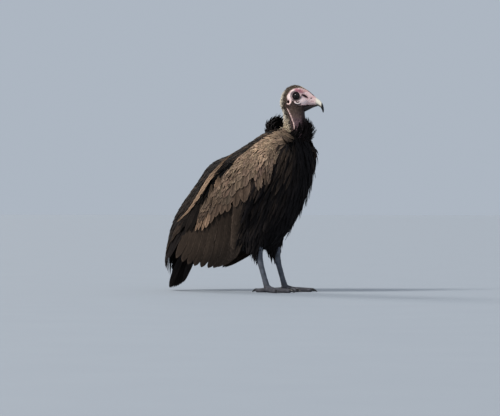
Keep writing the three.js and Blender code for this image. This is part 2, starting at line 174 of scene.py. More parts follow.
def catmull(points: Array, samples: int | Array) -> Array:
    """A smooth line through points.

    Args:
        points: The points that it passes through.
        samples: How many even places are wanted, or an array of shares of its length.

    Returns:
        The points of the line.
    """
    points = np.asarray(points, dtype=float)
    padded = np.concatenate([2 * points[:1] - points[1:2], points, 2 * points[-1:] - points[-2:-1]])
    shares = np.linspace(0, 1, samples) if isinstance(samples, int) else samples
    place = shares * (len(points) - 1)
    index = np.minimum(place.astype(int), len(points) - 2)
    t = (place - index)[:, None]
    a, b, c, d = (padded[index + offset] for offset in range(4))
    return 0.5 * (2 * b + (c - a) * t + (2 * a - 5 * b + 4 * c - d) * t**2 + (3 * b - a - 3 * c + d) * t**3)


# ---- Meshes ----


def shown(name: str, data: bpy.types.ID) -> Object:
    """A new object of the scene."""
    thing = bpy.data.objects.new(name, data)
    bpy.context.scene.collection.objects.link(thing)
    return thing


@contextmanager
def edited(mesh: Mesh) -> Iterator[bmesh.types.BMesh]:
    """A mesh opened for changes that are then written back to it."""
    work = bmesh.new()
    work.from_mesh(mesh)
    yield work
    work.to_mesh(mesh)
    work.free()


def mesh_object(name: str, points: Array, corners: Array, starts: Array) -> Object:
    """A smooth-shaded mesh object.

    Args:
        name: The piece's name.
        points: Its vertices, in frame metres.
        corners: The vertex of every face corner, face after face.
        starts: The place in corners where each face begins.

    Returns:
        The new object, at the origin.
    """
    mesh = bpy.data.meshes.new(name)
    mesh.vertices.add(len(points))
    mesh.vertices.foreach_set("co", np.ascontiguousarray(points, dtype=np.float32).ravel())
    mesh.loops.add(len(corners))
    mesh.loops.foreach_set("vertex_index", np.ascontiguousarray(corners, dtype=np.int32))
    mesh.polygons.add(len(starts))
    mesh.polygons.foreach_set("loop_start", np.ascontiguousarray(starts, dtype=np.int32))
    mesh.update(calc_edges=True)
    mesh.validate()
    return shown(name, mesh)


def quad_object(name: str, points: Array, quads: Array) -> Object:
    """A mesh object of four-sided faces."""
    return mesh_object(name, points, quads.ravel(), np.arange(len(quads)) * 4)


def tubes(name: str, stacks: Sequence[Array]) -> Object:
    """Closed tubes as one mesh that faces outwards.

    Args:
        name: The piece's name.
        stacks: For each tube an array of rings by sides by 3, in frame metres.

    Returns:
        The new object.
    """
    corners, starts, base, first = [], [], 0, 0
    for stack in stacks:
        rings, sides = stack.shape[:2]
        grid = np.arange(rings - 1)[:, None] * sides + base
        here, after = np.arange(sides), (np.arange(sides) + 1) % sides
        quads = np.stack([grid + here, grid + after, grid + sides + after, grid + sides + here], -1).ravel()
        ends = np.concatenate([base + here[::-1], base + (rings - 1) * sides + here])
        corners += [quads, ends]
        starts += [first + np.arange(len(quads) // 4) * 4, first + len(quads) + np.array([0, sides])]
        first += len(quads) + len(ends)
        base += rings * sides
    points = np.concatenate([stack.reshape(-1, 3) for stack in stacks])
    thing = mesh_object(name, points, np.concatenate(corners), np.concatenate(starts))
    with edited(thing.data) as work:
        bmesh.ops.recalc_face_normals(work, faces=work.faces)
    return thing


def set_colour(mesh: Mesh, name: str, colours: Array) -> None:
    """Stores a colour for every vertex."""
    layer = mesh.attributes.new(name, "FLOAT_COLOR", "POINT")
    rgba = np.concatenate([colours, np.ones((len(colours), 1))], axis=1)
    layer.data.foreach_set("color", rgba.astype(np.float32).ravel())


def set_value(mesh: Mesh, name: str, values: Array) -> None:
    """Stores a number for every vertex."""
    layer = mesh.attributes.new(name, "FLOAT", "POINT")
    layer.data.foreach_set("value", np.asarray(values, dtype=np.float32))


def set_vector(mesh: Mesh, name: str, values: Array) -> None:
    """Stores a vector for every vertex."""
    layer = mesh.attributes.new(name, "FLOAT_VECTOR", "POINT")
    layer.data.foreach_set("vector", np.asarray(values, dtype=np.float32).ravel())


def set_uv(mesh: Mesh, name: str, coordinates: Array) -> None:
    """Stores a UV map, one pair for every face corner."""
    layer = mesh.uv_layers.new(name=name)
    layer.data.foreach_set("uv", np.asarray(coordinates, dtype=np.float32).ravel())


def vertices_of(mesh: Mesh) -> Array:
    """The vertices of a mesh as an array."""
    points = np.empty(len(mesh.vertices) * 3, dtype=np.float32)
    mesh.vertices.foreach_get("co", points)
    return points.reshape(-1, 3).astype(float)


def evaluated(thing: Object) -> Mesh:
    """The mesh of an object with its modifiers applied, as a new mesh."""
    graph = bpy.context.evaluated_depsgraph_get()
    return bpy.data.meshes.new_from_object(thing.evaluated_get(graph), depsgraph=graph)


def bake_in(thing: Object) -> None:
    """Makes an object's modifiers part of its mesh and removes them."""
    made = evaluated(thing)
    thing.modifiers.clear()
    old = thing.data
    thing.data = made
    bpy.data.meshes.remove(old)


def discard(thing: Object) -> None:
    """Deletes a helper object."""
    bpy.data.objects.remove(thing, do_unlink=True)


# ---- Surfaces that feathers are laid on ----


class Surface:
    """A closed surface that can be asked for its nearest point and crossed by a ray."""

    def __init__(self, points: Array, faces: Array) -> None:
        """Keeps the triangles and a tree that searches them."""
        self.points = points
        self.faces = faces
        self.tree = BVHTree.FromPolygons(points.tolist(), faces.tolist())

    def nearest(self, point: Array) -> tuple[Array, Array]:
        """The nearest surface point and the normal there."""
        at, normal, _, _ = self.tree.find_nearest(Vector(point))
        return np.array(at), np.array(normal)

    def from_side(self, side: Side, x: float, z: float) -> Array:
        """Where a level line from one side first meets the surface.

        Args:
            side: The side that the line comes from.
            x: Design X in millimetres.
            z: Design Z in millimetres.

        Returns:
            The point in frame metres; off the outline, the nearest surface point.
        """
        start = from_design([x, side.value * 300.0, z])
        hit, _, _, _ = self.tree.ray_cast(Vector(start), Vector((0, -side.value, 0)))
        if hit is None:
            return self.nearest(from_design([x, side.value * 20.0, z]))[0]
        return np.array(hit)

    def walk(self, tip: Array, flow: Flow, length: float, steps: int, yaw: float = 0.0) -> tuple[Array, Array]:
        """The line over the surface that ends at a tip, followed back against the lie.

        Args:
            tip: The end of the line.
            flow: The lie of the feathers at a point.
            length: The length of the line in metres.
            steps: How many points it has.
            yaw: How far the line turns off the lie, in radians.

        Returns:
            The points and normals of the line, root first.
        """
        point, normal = self.nearest(tip)
        points, normals = [point], [normal]
        stride = length / (steps - 1)
        for _ in range(steps - 1):
            heading = flow(point)
            heading = unit(heading - normal * (heading @ normal))
            heading = unit(heading + np.cross(normal, heading) * yaw)
            point, normal = self.nearest(point - heading * stride)
            points.append(point)
            normals.append(normal)
        return np.array(points[::-1]), np.array(normals[::-1])

    def scatter(self, seed: int, spacing: Flow, keep: Flow) -> Array:
        """Points spread over part of the surface, no two nearer than the spacing there.

        Args:
            seed: Fixes the spread.
            spacing: The least distance at each of an array of points, in metres.
            keep: Which of an array of points may be used.

        Returns:
            The points that were kept.
        """
        rng = np.random.default_rng(seed)
        triangle = self.points[self.faces]
        first, second, third = triangle[:, 0], triangle[:, 1], triangle[:, 2]
        area = np.linalg.norm(np.cross(second - first, third - first), axis=1) / 2
        count = int(area.sum() / TRIAL_AREA)
        chosen = rng.choice(len(area), count, p=area / area.sum())
        u, v = rng.random((2, count, 1))
        fold = u + v > 1
        u, v = np.where(fold, 1 - u, u), np.where(fold, 1 - v, v)
        spots = first[chosen] + (second - first)[chosen] * u + (third - first)[chosen] * v
        spots = spots[keep(spots)]
        reach = spacing(spots)
        taken: dict[tuple[int, ...], list[tuple[float, ...]]] = {}
        kept = []
        keys = np.floor(spots / float(reach.max())).astype(int)
        for spot, (i, j, k), near in zip(spots, keys.tolist(), reach):
            x, y, z = spot
            crowded = any(
                (x - px) ** 2 + (y - py) ** 2 + (z - pz) ** 2 < (gap := min(near, other)) * gap
                for cell in product((i - 1, i, i + 1), (j - 1, j, j + 1), (k - 1, k, k + 1))
                for px, py, pz, other in taken.get(cell, ())
            )
            if not crowded:
                taken.setdefault((i, j, k), []).append((x, y, z, near))
                kept.append(spot)
        return np.array(kept)


def form_mesh(nodes: Sequence[str], voxel: float, smoothing: int, inset: float = 0.0) -> Object:
    """One closed, evenly meshed body around several solids.

    Args:
        nodes: The frame's nodes to enclose.
        voxel: The size of its faces in metres.
        smoothing: How often it is smoothed.
        inset: How far its surface is then drawn in.

    Returns:
        A helper object with the body's mesh.
    """
    whole = bmesh.new()
    for name in nodes:
        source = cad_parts[name]
        part = source.data.copy()
        part.transform(source.matrix_world)
        whole.from_mesh(part)
        bpy.data.meshes.remove(part)
    bmesh.ops.remove_doubles(whole, verts=whole.verts, dist=1e-6)
    thing = shown("form", bpy.data.meshes.new("form"))
    whole.to_mesh(thing.data)
    whole.free()
    remesh = thing.modifiers.new("even", "REMESH")
    remesh.mode = "VOXEL"
    remesh.voxel_size = voxel
    soften = thing.modifiers.new("soften", "SMOOTH")
    soften.factor = 0.5
    soften.iterations = smoothing
    if inset:
        draw_in = thing.modifiers.new("inset", "DISPLACE")
        draw_in.mid_level = 0
        draw_in.strength = -inset
        again = thing.modifiers.new("again", "REMESH")
        again.mode = "VOXEL"
        again.voxel_size = voxel
    bake_in(thing)
    keep_largest(thing.data)
    return thing


def keep_largest(mesh: Mesh) -> None:
    """Removes all but the largest connected part of a mesh."""
    with edited(mesh) as work:
        seen: set[bmesh.types.BMVert] = set()
        parts = []
        for start in work.verts:
            if start in seen:
                continue
            seen.add(start)
            part, stack = [], [start]
            while stack:
                part.append(stack.pop())
                near = {edge.other_vert(part[-1]) for edge in part[-1].link_edges} - seen
                seen |= near
                stack += near
            parts.append(part)
        for part in sorted(parts, key=len)[:-1]:
            bmesh.ops.delete(work, geom=part, context="VERTS")


def surface_of(thing: Object) -> Surface:
    """The surface of a helper object's mesh."""
    mesh = thing.data
    mesh.calc_loop_triangles()
    faces = np.empty(len(mesh.loop_triangles) * 3, dtype=np.int32)
    mesh.loop_triangles.foreach_get("vertices", faces)
    return Surface(vertices_of(mesh), faces.reshape(-1, 3))


# ---- Feathers ----


@dataclass(frozen=True)
class VaneShape:
    """The form that a group of feathers shares."""

    rings: int  # stations along the feather
    across: tuple[float, ...]  # the upper face's columns, from one edge (-1) to the other (1)
    stem: float  # width at the root, as a share of the widest
    shoulder: float  # where it is widest, as a share of its length
    blunt: float  # 1 gives a pointed tip, 3 a square one
    camber: float  # how far the edges bend down, as a share of half the width
    thickness: float  # at the shaft, in metres
    fray: float  # how ragged the edges are
    splits: float  # the share of stations where the vane is split

    def width(self, t: Array) -> Array:
        """The share of the full width at a share of the length."""
        rise = self.stem + (1 - self.stem) * ramp(0.0, self.shoulder, t)
        fall = np.clip((t - self.shoulder) / (1 - self.shoulder), 0, 1)
        return rise * np.power(np.clip(1 - fall**self.blunt, 0, 1), 0.62)

    def stations(self) -> Array:
        """The rings' places as shares of the length, closer together towards the tip."""
        even = np.linspace(0, 1, self.rings)
        return 0.5 * even + 0.5 * np.sin(even * np.pi / 2)


QUILL = VaneShape(26, (-1, -0.5, 0, 0.5, 1), 0.6, 0.4, 4.6, 0.14, 0.8 * MM, 0.03, 0.05)
COVERT = VaneShape(15, (-1, -0.5, 0, 0.5, 1), 0.55, 0.42, 2.9, 0.2, 0.6 * MM, 0.06, 0.1)
SMALL_COVERT = VaneShape(10, (-1, 0, 1), 0.6, 0.4, 2.3, 0.24, 0.5 * MM, 0.09, 0.14)
PLUME = VaneShape(11, (-1, 0, 1), 0.5, 0.35, 1.25, 0.32, 0.8 * MM, 0.16, 0.16)
SPIKE = VaneShape(8, (-1, 0, 1), 0.6, 0.3, 1.05, 0.35, 0.8 * MM, 0.2, 0.2)


class Vanes:
    """A group of feathers that becomes one mesh, each feather a thin closed solid."""

    def __init__(self, name: str, shape: VaneShape, seed: int) -> None:
        """Starts an empty group.

        Args:
            name: The finished piece's name.
            shape: The form that its feathers share.
            seed: Fixes their chances.
        """
        self.name = name
        self.shape = shape
        self.rng = np.random.default_rng(seed)
        self.lines: list[Array] = []
        self.normals: list[Array] = []
        self.settings: list[tuple[float, ...]] = []
        self.tones: list[Array] = []

    def add(
        self,
        line: Array,
        normals: Array,
        half: float,
        tone: Array,
        lift: tuple[float, float] = (0.0, 0.0),
        roll: float = 0.0,
    ) -> None:
        """Adds one feather.

        Args:
            line: Points from its root to its tip, in frame metres.
            normals: The surface normal at each of them.
            half: Half its greatest width in metres.
            tone: Its colour in linear light.
            lift: Its height over the line at the root and at the tip, in metres.
            roll: Its turn about its shaft in radians.
        """
        stations = self.shape.stations()
        path = catmull(line, stations)
        facing = catmull(normals, stations)
        for _ in range(2):
            path[1:-1] = path[1:-1] * 0.5 + (path[:-2] + path[2:]) * 0.25
            facing[1:-1] = facing[1:-1] * 0.34 + (facing[:-2] + facing[2:]) * 0.33
        self.lines.append(path)
        self.normals.append(facing)
        self.settings.append((half, *lift, roll))
        self.tones.append(np.asarray(tone, dtype=float))

    def edges(self, count: int, t: Array) -> Array:
        """The ragged width of one side of every vane, as shares of the full half width."""
        shape, rng = self.shape, self.rng
        width = np.tile(shape.width(t), (count, 1))
        width *= 1 + shape.fray * rng.normal(size=width.shape)
        splits = rng.random(width.shape) < shape.splits * (t > 0.35)
        return np.where(splits, width * rng.uniform(0.45, 0.8, width.shape), width)

    def build(self, unwrap: Flow) -> Object:
        """The mesh of all the feathers.

        Args:
            unwrap: Gives each root's place on the unwrapped skin.

        Returns:
            The new object, with its maps and its feathers' colours.
        """
        shape = self.shape
        line, normal = np.array(self.lines), np.array(self.normals)
        half, low, high, roll = np.array(self.settings).T
        count, rings = line.shape[:2]
        t = shape.stations()
        tangent = unit(np.gradient(line, axis=1))
        across = unit(np.cross(tangent, normal))
        normal = unit(np.cross(across, tangent))
        turn = roll[:, None, None] * (0.35 + 0.65 * t[None, :, None])
        side = across * np.cos(turn) + normal * np.sin(turn)
        up = normal * np.cos(turn) - across * np.sin(turn)
        height = low[:, None] + (high - low)[:, None] * t[None] ** LIFT_EASE
        bend = self.rng.normal(size=(count, 1)) * 0.1 * half[:, None] * np.sin(t * math.pi)[None]
        centre = line + normal * height[..., None] + across * bend[..., None]
        left, right = self.edges(count, t), self.edges(count, t)

        top = np.array(shape.across, dtype=float)
        columns = np.concatenate([top, top[-2:0:-1]])
        upper = np.concatenate([np.ones(len(top)), -np.ones(len(top) - 2)])
        sides = len(columns)
        reach = np.where(columns < 0, left[..., None], right[..., None]) * half[:, None, None]
        body = shape.thickness * (1 - np.abs(columns)) * np.where(upper > 0, 0.6, -0.4)
        taper = (1.05 - 0.65 * t)[None, :, None]
        out = body * taper - shape.camber * reach * columns**2
        points = (
            centre[:, :, None]
            + side[:, :, None] * (reach * columns)[..., None]
            + up[:, :, None] * out[..., None]
        )

        ring = np.arange(rings - 1)[:, None] * sides
        here = np.arange(sides)
        after = (here + 1) % sides
        quads = np.stack([ring + here, ring + sides + here, ring + sides + after, ring + after], axis=-1)
        quads = quads.reshape(-1, 4)
        caps = np.stack([here, here[::-1] + (rings - 1) * sides])
        per = rings * sides
        first = np.arange(count) * per
        quad_corners = (first[:, None, None] + quads).reshape(count, -1)
        cap_corners = (first[:, None, None] + caps).reshape(count, -1)
        corners = np.concatenate([quad_corners, cap_corners], axis=1).ravel()
        length = quad_corners.shape[1] + cap_corners.shape[1]
        local = np.concatenate([np.arange(len(quads)) * 4, len(quads) * 4 + np.array([0, sides])])
        starts = (np.arange(count)[:, None] * length + local).ravel()
        thing = mesh_object(self.name, points.reshape(-1, 3), corners, starts)

        mesh = thing.data
        place = corners % per
        owner = corners // per
        station, column = place // sides, place % sides
        span = np.linalg.norm(np.diff(line, axis=1), axis=2).sum(axis=1)
        vane = np.stack([(columns[column] + 1) / 2, t[station]], axis=-1)
        barbs = np.stack([columns[column] * half[owner], t[station] * span[owner]], axis=-1) / MM
        wrapped = np.tile(np.arange(sides), (len(quads) // sides, 1))
        around = np.stack([wrapped, wrapped, wrapped + 1, wrapped + 1], axis=-1).ravel() / sides
        around = np.concatenate([around, np.full(2 * sides, 0.5)])
        patch = np.stack([np.tile(around, count), t[station]], axis=-1)
        root = unwrap(line[:, 0])
        set_uv(mesh, BAKE_MAP, root[owner] + patch * TUFT_PATCH)
        set_uv(mesh, VANE_MAP, vane)
        set_uv(mesh, BARB_MAP, barbs)
        set_colour(mesh, "tone", np.repeat(np.array(self.tones), per, axis=0))
        set_value(mesh, "chance", np.repeat(self.rng.random(count), per))
        self.sharpen(mesh, per, sides, (0, len(top) - 1))
        return thing

    @staticmethod
    def sharpen(mesh: Mesh, per: int, sides: int, rims: tuple[int, int]) -> None:
        """Marks the two rims of every vane as sharp, so that its faces shade as thin sheets."""
        ends = np.empty(len(mesh.edges) * 2, dtype=np.int32)
        mesh.edges.foreach_get("vertices", ends)
        first, second = ends.reshape(-1, 2).T
        column = (first % per) % sides
        rim = (column == (second % per) % sides) & ((column == rims[0]) | (column == rims[1]))
        layer = mesh.attributes.new("sharp_edge", "BOOLEAN", "EDGE")
        layer.data.foreach_set("value", rim)


# ---- Finishes ----


class Tree:
    """A short way to build a node tree."""

    def __init__(self, tree: NodeTree) -> None:
        """Keeps the tree that the nodes go into."""
        self.tree = tree

    def node(self, kind: str, inputs: Inputs | None = None, **settings: object) -> Node:
        """A node with its settings and inputs; an input that is a value or a socket is linked."""
        node = self.tree.nodes.new(kind)
        for key, value in settings.items():
            setattr(node, key, value)
        for key, value in (inputs or {}).items():
            if isinstance(value, Value):
                self.tree.links.new(value.socket, node.inputs[key])
            else:
                node.inputs[key].default_value = value
        return node

    def value(
        self, kind: str, inputs: Inputs | None = None, output: str | int = 0, **settings: object
    ) -> "Value":
        """One output of a new node."""
        return Value(self, self.node(kind, inputs, **settings).outputs[output])

    def math(self, operation: str, a: object, b: object = 0.0) -> "Value":
        """The result of one sum."""
        return self.value("ShaderNodeMath", {0: a, 1: b}, operation=operation)

    def join(self, *parts: object) -> "Value":
        """Three numbers as a vector."""
        return self.value("ShaderNodeCombineXYZ", dict(enumerate(parts)))

    def scaled(self, vector: "Value", by: object) -> "Value":
        """A vector or colour times a number."""
        return self.value("ShaderNodeVectorMath", {0: vector, "Scale": by}, operation="SCALE")


@dataclass(frozen=True)
class Value:
    """What one socket of a tree gives, for use in plain sums."""

    tree: Tree
    socket: NodeSocket

    def __add__(self, other: object) -> "Value":
        """The sum of two values."""
        return self.tree.math("ADD", self, other)

    def __mul__(self, other: object) -> "Value":
        """The product of two values."""
        return self.tree.math("MULTIPLY", self, other)

    def __sub__(self, other: object) -> "Value":
        """This value less another."""
        return self.tree.math("SUBTRACT", self, other)

    def __rsub__(self, other: object) -> "Value":
        """A number less this value."""
        return self.tree.math("SUBTRACT", other, self)

    def __abs__(self) -> "Value":
        """The value without its sign."""
        return self.tree.math("ABSOLUTE", self)


class Finish(Tree):
    """A material's node tree."""

    def __init__(self, name: str) -> None:
        """Starts a material of that name with nothing but its output."""
        self.material = bpy.data.materials.new(name)
        self.material.use_nodes = True
        super().__init__(self.material.node_tree)
        self.tree.nodes.clear()
        self.output = self.tree.nodes.new("ShaderNodeOutputMaterial")

    @property
    def place(self) -> Value:
        """A point's own coordinates."""
        return self.value("ShaderNodeTexCoord", output="Object")

    def remap(self, value: object, low: float, high: float, to: tuple[float, float] = (0.0, 1.0)) -> Value:
        """A value moved smoothly from one range to another."""
        inputs = {"Value": value, "From Min": low, "From Max": high, "To Min": to[0], "To Max": to[1]}
        return self.value("ShaderNodeMapRange", inputs, interpolation_type="SMOOTHSTEP")

    def blend(self, share: Value, a: object, b: object) -> Value:
        """Two colours mixed."""
        a, b = (colour if isinstance(colour, Value) else (*colour, 1.0) for colour in (a, b))
        return self.value("ShaderNodeMix", {0: share, 6: a, 7: b}, 2, data_type="RGBA")

    def attribute(self, name: str, output: str = "Fac") -> Value:
        """One of the mesh's attributes."""
        return self.value("ShaderNodeAttribute", output=output, attribute_name=name)

    def map(self, name: str) -> tuple[Value, Value]:
        """The two coordinates of a UV map."""
        split = self.node("ShaderNodeSeparateXYZ", {0: self.value("ShaderNodeUVMap", uv_map=name)}).outputs
        return Value(self, split[0]), Value(self, split[1])

    def noise(self, vector: Value, scale: float, detail: float = 3.0, roughness: float = 0.55) -> Value:
        """A noise from 0 to 1."""
        inputs = {"Vector": vector, "Scale": scale, "Detail": detail, "Roughness": roughness}
        return self.value("ShaderNodeTexNoise", inputs, "Fac")

    def shade(self, inputs: Inputs, height: Value | None = None, depth: float = 0.0) -> Material:
        """Finishes the material with its surface and relief."""
        surface = self.node("ShaderNodeBsdfPrincipled", inputs)
        if height is not None:
            bump = self.node("ShaderNodeBump", {"Height": height, "Distance": depth, "Strength": 1.0})
            self.tree.links.new(bump.outputs["Normal"], surface.inputs["Normal"])
        self.tree.links.new(surface.outputs[0], self.output.inputs["Surface"])
        return self.material


@dataclass(frozen=True)
class VaneFinish:
    """How a group of feathers looks."""

    name: str
    fringe: float = 0.5  # how much paler the edges are
    fringe_width: float = 0.15  # as a share of the whole width
    centre: float = 0.75  # the brightness down the middle
    root: float = 0.5  # the brightness at the root
    shaft: float = 0.55  # the shaft's brightness over its vane
    streaks: float = 0.3  # how uneven the bunches of barbs are
    blotches: float = 0.25
    roughness: float = 0.9
    specular: float = 0.07
    relief: float = 0.14 * MM

    def material(self) -> Material:
        """Barbs that slope from the shaft in bunches, a paler worn edge and a darker root."""
        n = Finish(self.name)
        across, along = n.map(VANE_MAP)
        beside, up = n.map(BARB_MAP)
        shift = n.attribute("chance") * 90.0  # gives every feather a pattern of its own
        off_shaft = abs(across - 0.5)
        slant = up - abs(beside) * 1.6
        lane = n.join(slant + shift, beside * 0.12, shift)
        bunches = n.noise(lane, 0.5, 3.0, 0.6)
        fine = n.noise(lane, 2.6, 2.0, 0.6)
        blotches = n.noise(n.join(beside, up * 0.5, shift), 0.22, 3.0, 0.6)
        jag = (bunches - 0.5) * 0.22
        rim = n.remap(off_shaft + jag, 0.5 - self.fringe_width, 0.5 - self.fringe_width * 0.25)
        end = n.remap(along + jag, 1.0 - self.fringe_width * 0.6, 1.0)
        split = n.remap(bunches, 0.39, 0.33) * n.remap(off_shaft, 0.1, 0.4)
        level = n.remap(along, 0.15, 0.7, (self.root, 1.0)) * n.remap(off_shaft, 0.02, 0.3, (self.centre, 1.0))
        for noise, swing in ((bunches, self.streaks), (fine, self.streaks * 0.8), (blotches, self.blotches)):
            level = level * ((noise - 0.5) * (swing * 4) + 1.0)
        level = level * (n.math("MAXIMUM", rim, end) * self.fringe + 1.0) * (1.0 - split * 0.5)
        level = level * n.remap(off_shaft, 0.05, 0.02, (1.0, self.shaft))
        height = n.math("SINE", slant * 7.5) * 0.15 + (bunches + fine * 0.7)
        colour = n.scaled(n.attribute("tone", "Color"), level)
        inputs = {"Base Color": colour, "Roughness": self.roughness, "Specular IOR Level": self.specular}
        return n.shade(inputs, height, self.relief)


# ---- The body's driving sections ----

# Each is back X, back Z, front X, front Z and half width, in design millimetres.
WING_SECTIONS = (
    (38, 378, 90, 362, 40),
    (2, 373, 103, 322, 72),
    (-46, 348, 107, 262, 92),
    (-96, 322, 78, 205, 99),
    (-154, 300, 30, 148, 98),
    (-194, 256, -26, 98, 87),
    (-232, 213, -92, 66, 76),
    (-261, 170, -150, 44, 67),
    (-275, 118, -200, 28, 60),
    (-280, 66, -238, 16, 53),
    (-279, 20, -262, 3, 44),
)
RUFF_SECTIONS = (
    (4, 364, 80, 336, 46),
    (-10, 382, 93, 350, 54),
    (-8, 401, 108, 374, 50),
    (6, 408, 101, 396, 39),
)
TAIL_LINE = ((-150, 0, 176), (-196, 0, 132), (-240, 0, 72), (-272, 0, -1.5))


class Sections:
    """The smooth shell through oval sections of the middle plane."""

    def __init__(self, table: Table) -> None:
        """Keeps the sections: back X, back Z, front X, front Z and half width."""
        self.table = np.array(table, dtype=float)

    def point(self, along: Array, angle: Array) -> Array:
        """Points of the shell.

        Args:
            along: The share of the way from the first section to the last.
            angle: The turn round the section in radians; a quarter turn is the back.

        Returns:
            The points in frame metres.
        """
        along, angle = np.broadcast_arrays(np.asarray(along, float), np.asarray(angle, float))
        fine = 400
        dense = catmull(self.table, fine)
        place = np.clip(along, 0, 1) * (fine - 1)
        low = np.minimum(place.astype(int), fine - 2)
        share = (place - low)[..., None]
        row = dense[low] * (1 - share) + dense[low + 1] * share
        middle_x, middle_z = (row[..., 0] + row[..., 2]) / 2, (row[..., 1] + row[..., 3]) / 2
        reach_x, reach_z = (row[..., 0] - row[..., 2]) / 2, (row[..., 1] - row[..., 3]) / 2
        sine = np.sin(angle)
        points = np.stack(
            [middle_x + reach_x * sine, row[..., 4] * np.cos(angle), middle_z + reach_z * sine], axis=-1
        )
        return from_design(points)

    def centre(self, along: Array) -> Array:
        """The middle of each section."""
        return (self.point(along, math.pi / 2) + self.point(along, -math.pi / 2)) / 2

    def surface(self, rings: int = 110, sides: int = 96) -> Surface:
        """The shell as a surface."""
        along = np.linspace(0, 1, rings)[:, None]
        angle = np.linspace(0, 2 * np.pi, sides, endpoint=False)[None]
        points = self.point(along, angle).reshape(-1, 3)
        ring, side = np.meshgrid(np.arange(rings - 1), np.arange(sides), indexing="ij")
        after = (side + 1) % sides
        quads = np.stack(
            [ring * sides + side, (ring + 1) * sides + side, (ring + 1) * sides + after, ring * sides + after],
            axis=-1,
        ).reshape(-1, 4)
        faces = np.concatenate([quads[:, [0, 1, 2]], quads[:, [0, 2, 3]]])
        outward = points[faces[0, 0]] - self.centre(0.0)
        normal = np.cross(points[faces[0, 1]] - points[faces[0, 0]], points[faces[0, 2]] - points[faces[0, 0]])
        if normal @ outward < 0:
            faces = faces[:, ::-1]
        return Surface(points, faces)


def body_unwrap(points: Array) -> Array:
    """The trunk's skin rolled out flat round an upright line, as UV places."""
    behind, tilt, tallest = 70, 0.25, 520  # the line's distance behind the feet and the roll's height, in mm
    design = to_design(points)
    bearing = np.arctan2(design[:, 1], design[:, 0] + behind) / (2 * np.pi) + 0.5
    reach = np.hypot(design[:, 0] + behind, design[:, 1]) * tilt
    height = (design[:, 2] + reach) / tallest
    return np.stack([bearing * 0.985 + 0.005, height * 0.97 + 0.01], axis=-1)


# ---- Wings ----

# The lower edge of the pale coverts in the side view, from the tail end to the shoulder.
COVERT_EDGE = ((-165, 140), (-139, 141), (-102, 170), (-68, 181), (-20, 207), (9, 226), (21, 230), (46, 245))
# The pale coverts' upper edge, along the dark grooves on the back.
COVERT_TOP = (
    (48, 376), (-6, 338), (-38, 312), (-58, 290), (-72, 266), (-84, 250), (-104, 236), (-120, 221), (-137, 204),
    (-149, 181), (-165, 140),
)  # fmt: skip
COVERT_FRONT = ((57, 282), (66, 309), (63, 345), (56, 366))
COVERTS_OUTLINE = COVERT_TOP[:-1] + COVERT_EDGE + COVERT_FRONT
# The two deep gaps between the coverts and the long inner feathers, whose feathers are painted near black as
# shadow.
GROOVES = (
    ((-18, 340), (-52, 322), (-78, 300), (-98, 276), (-104, 248), (-84, 250), (-72, 266), (-58, 290), (-8, 336)),
    (
        (-106, 262), (-124, 246), (-150, 208), (-176, 178), (-205, 150), (-166, 140), (-149, 181), (-120, 221),
        (-104, 238),
    ),
)  # fmt: skip
# The pale edge of the long inner feathers that runs down beside the gaps, partly their own pale tone and partly a
# painted highlight on the lit edge.
PALE_EDGE = ((-66, 333), (-84, 315), (-101, 284), (-130, 251), (-157, 217), (-188, 185), (-222, 160))


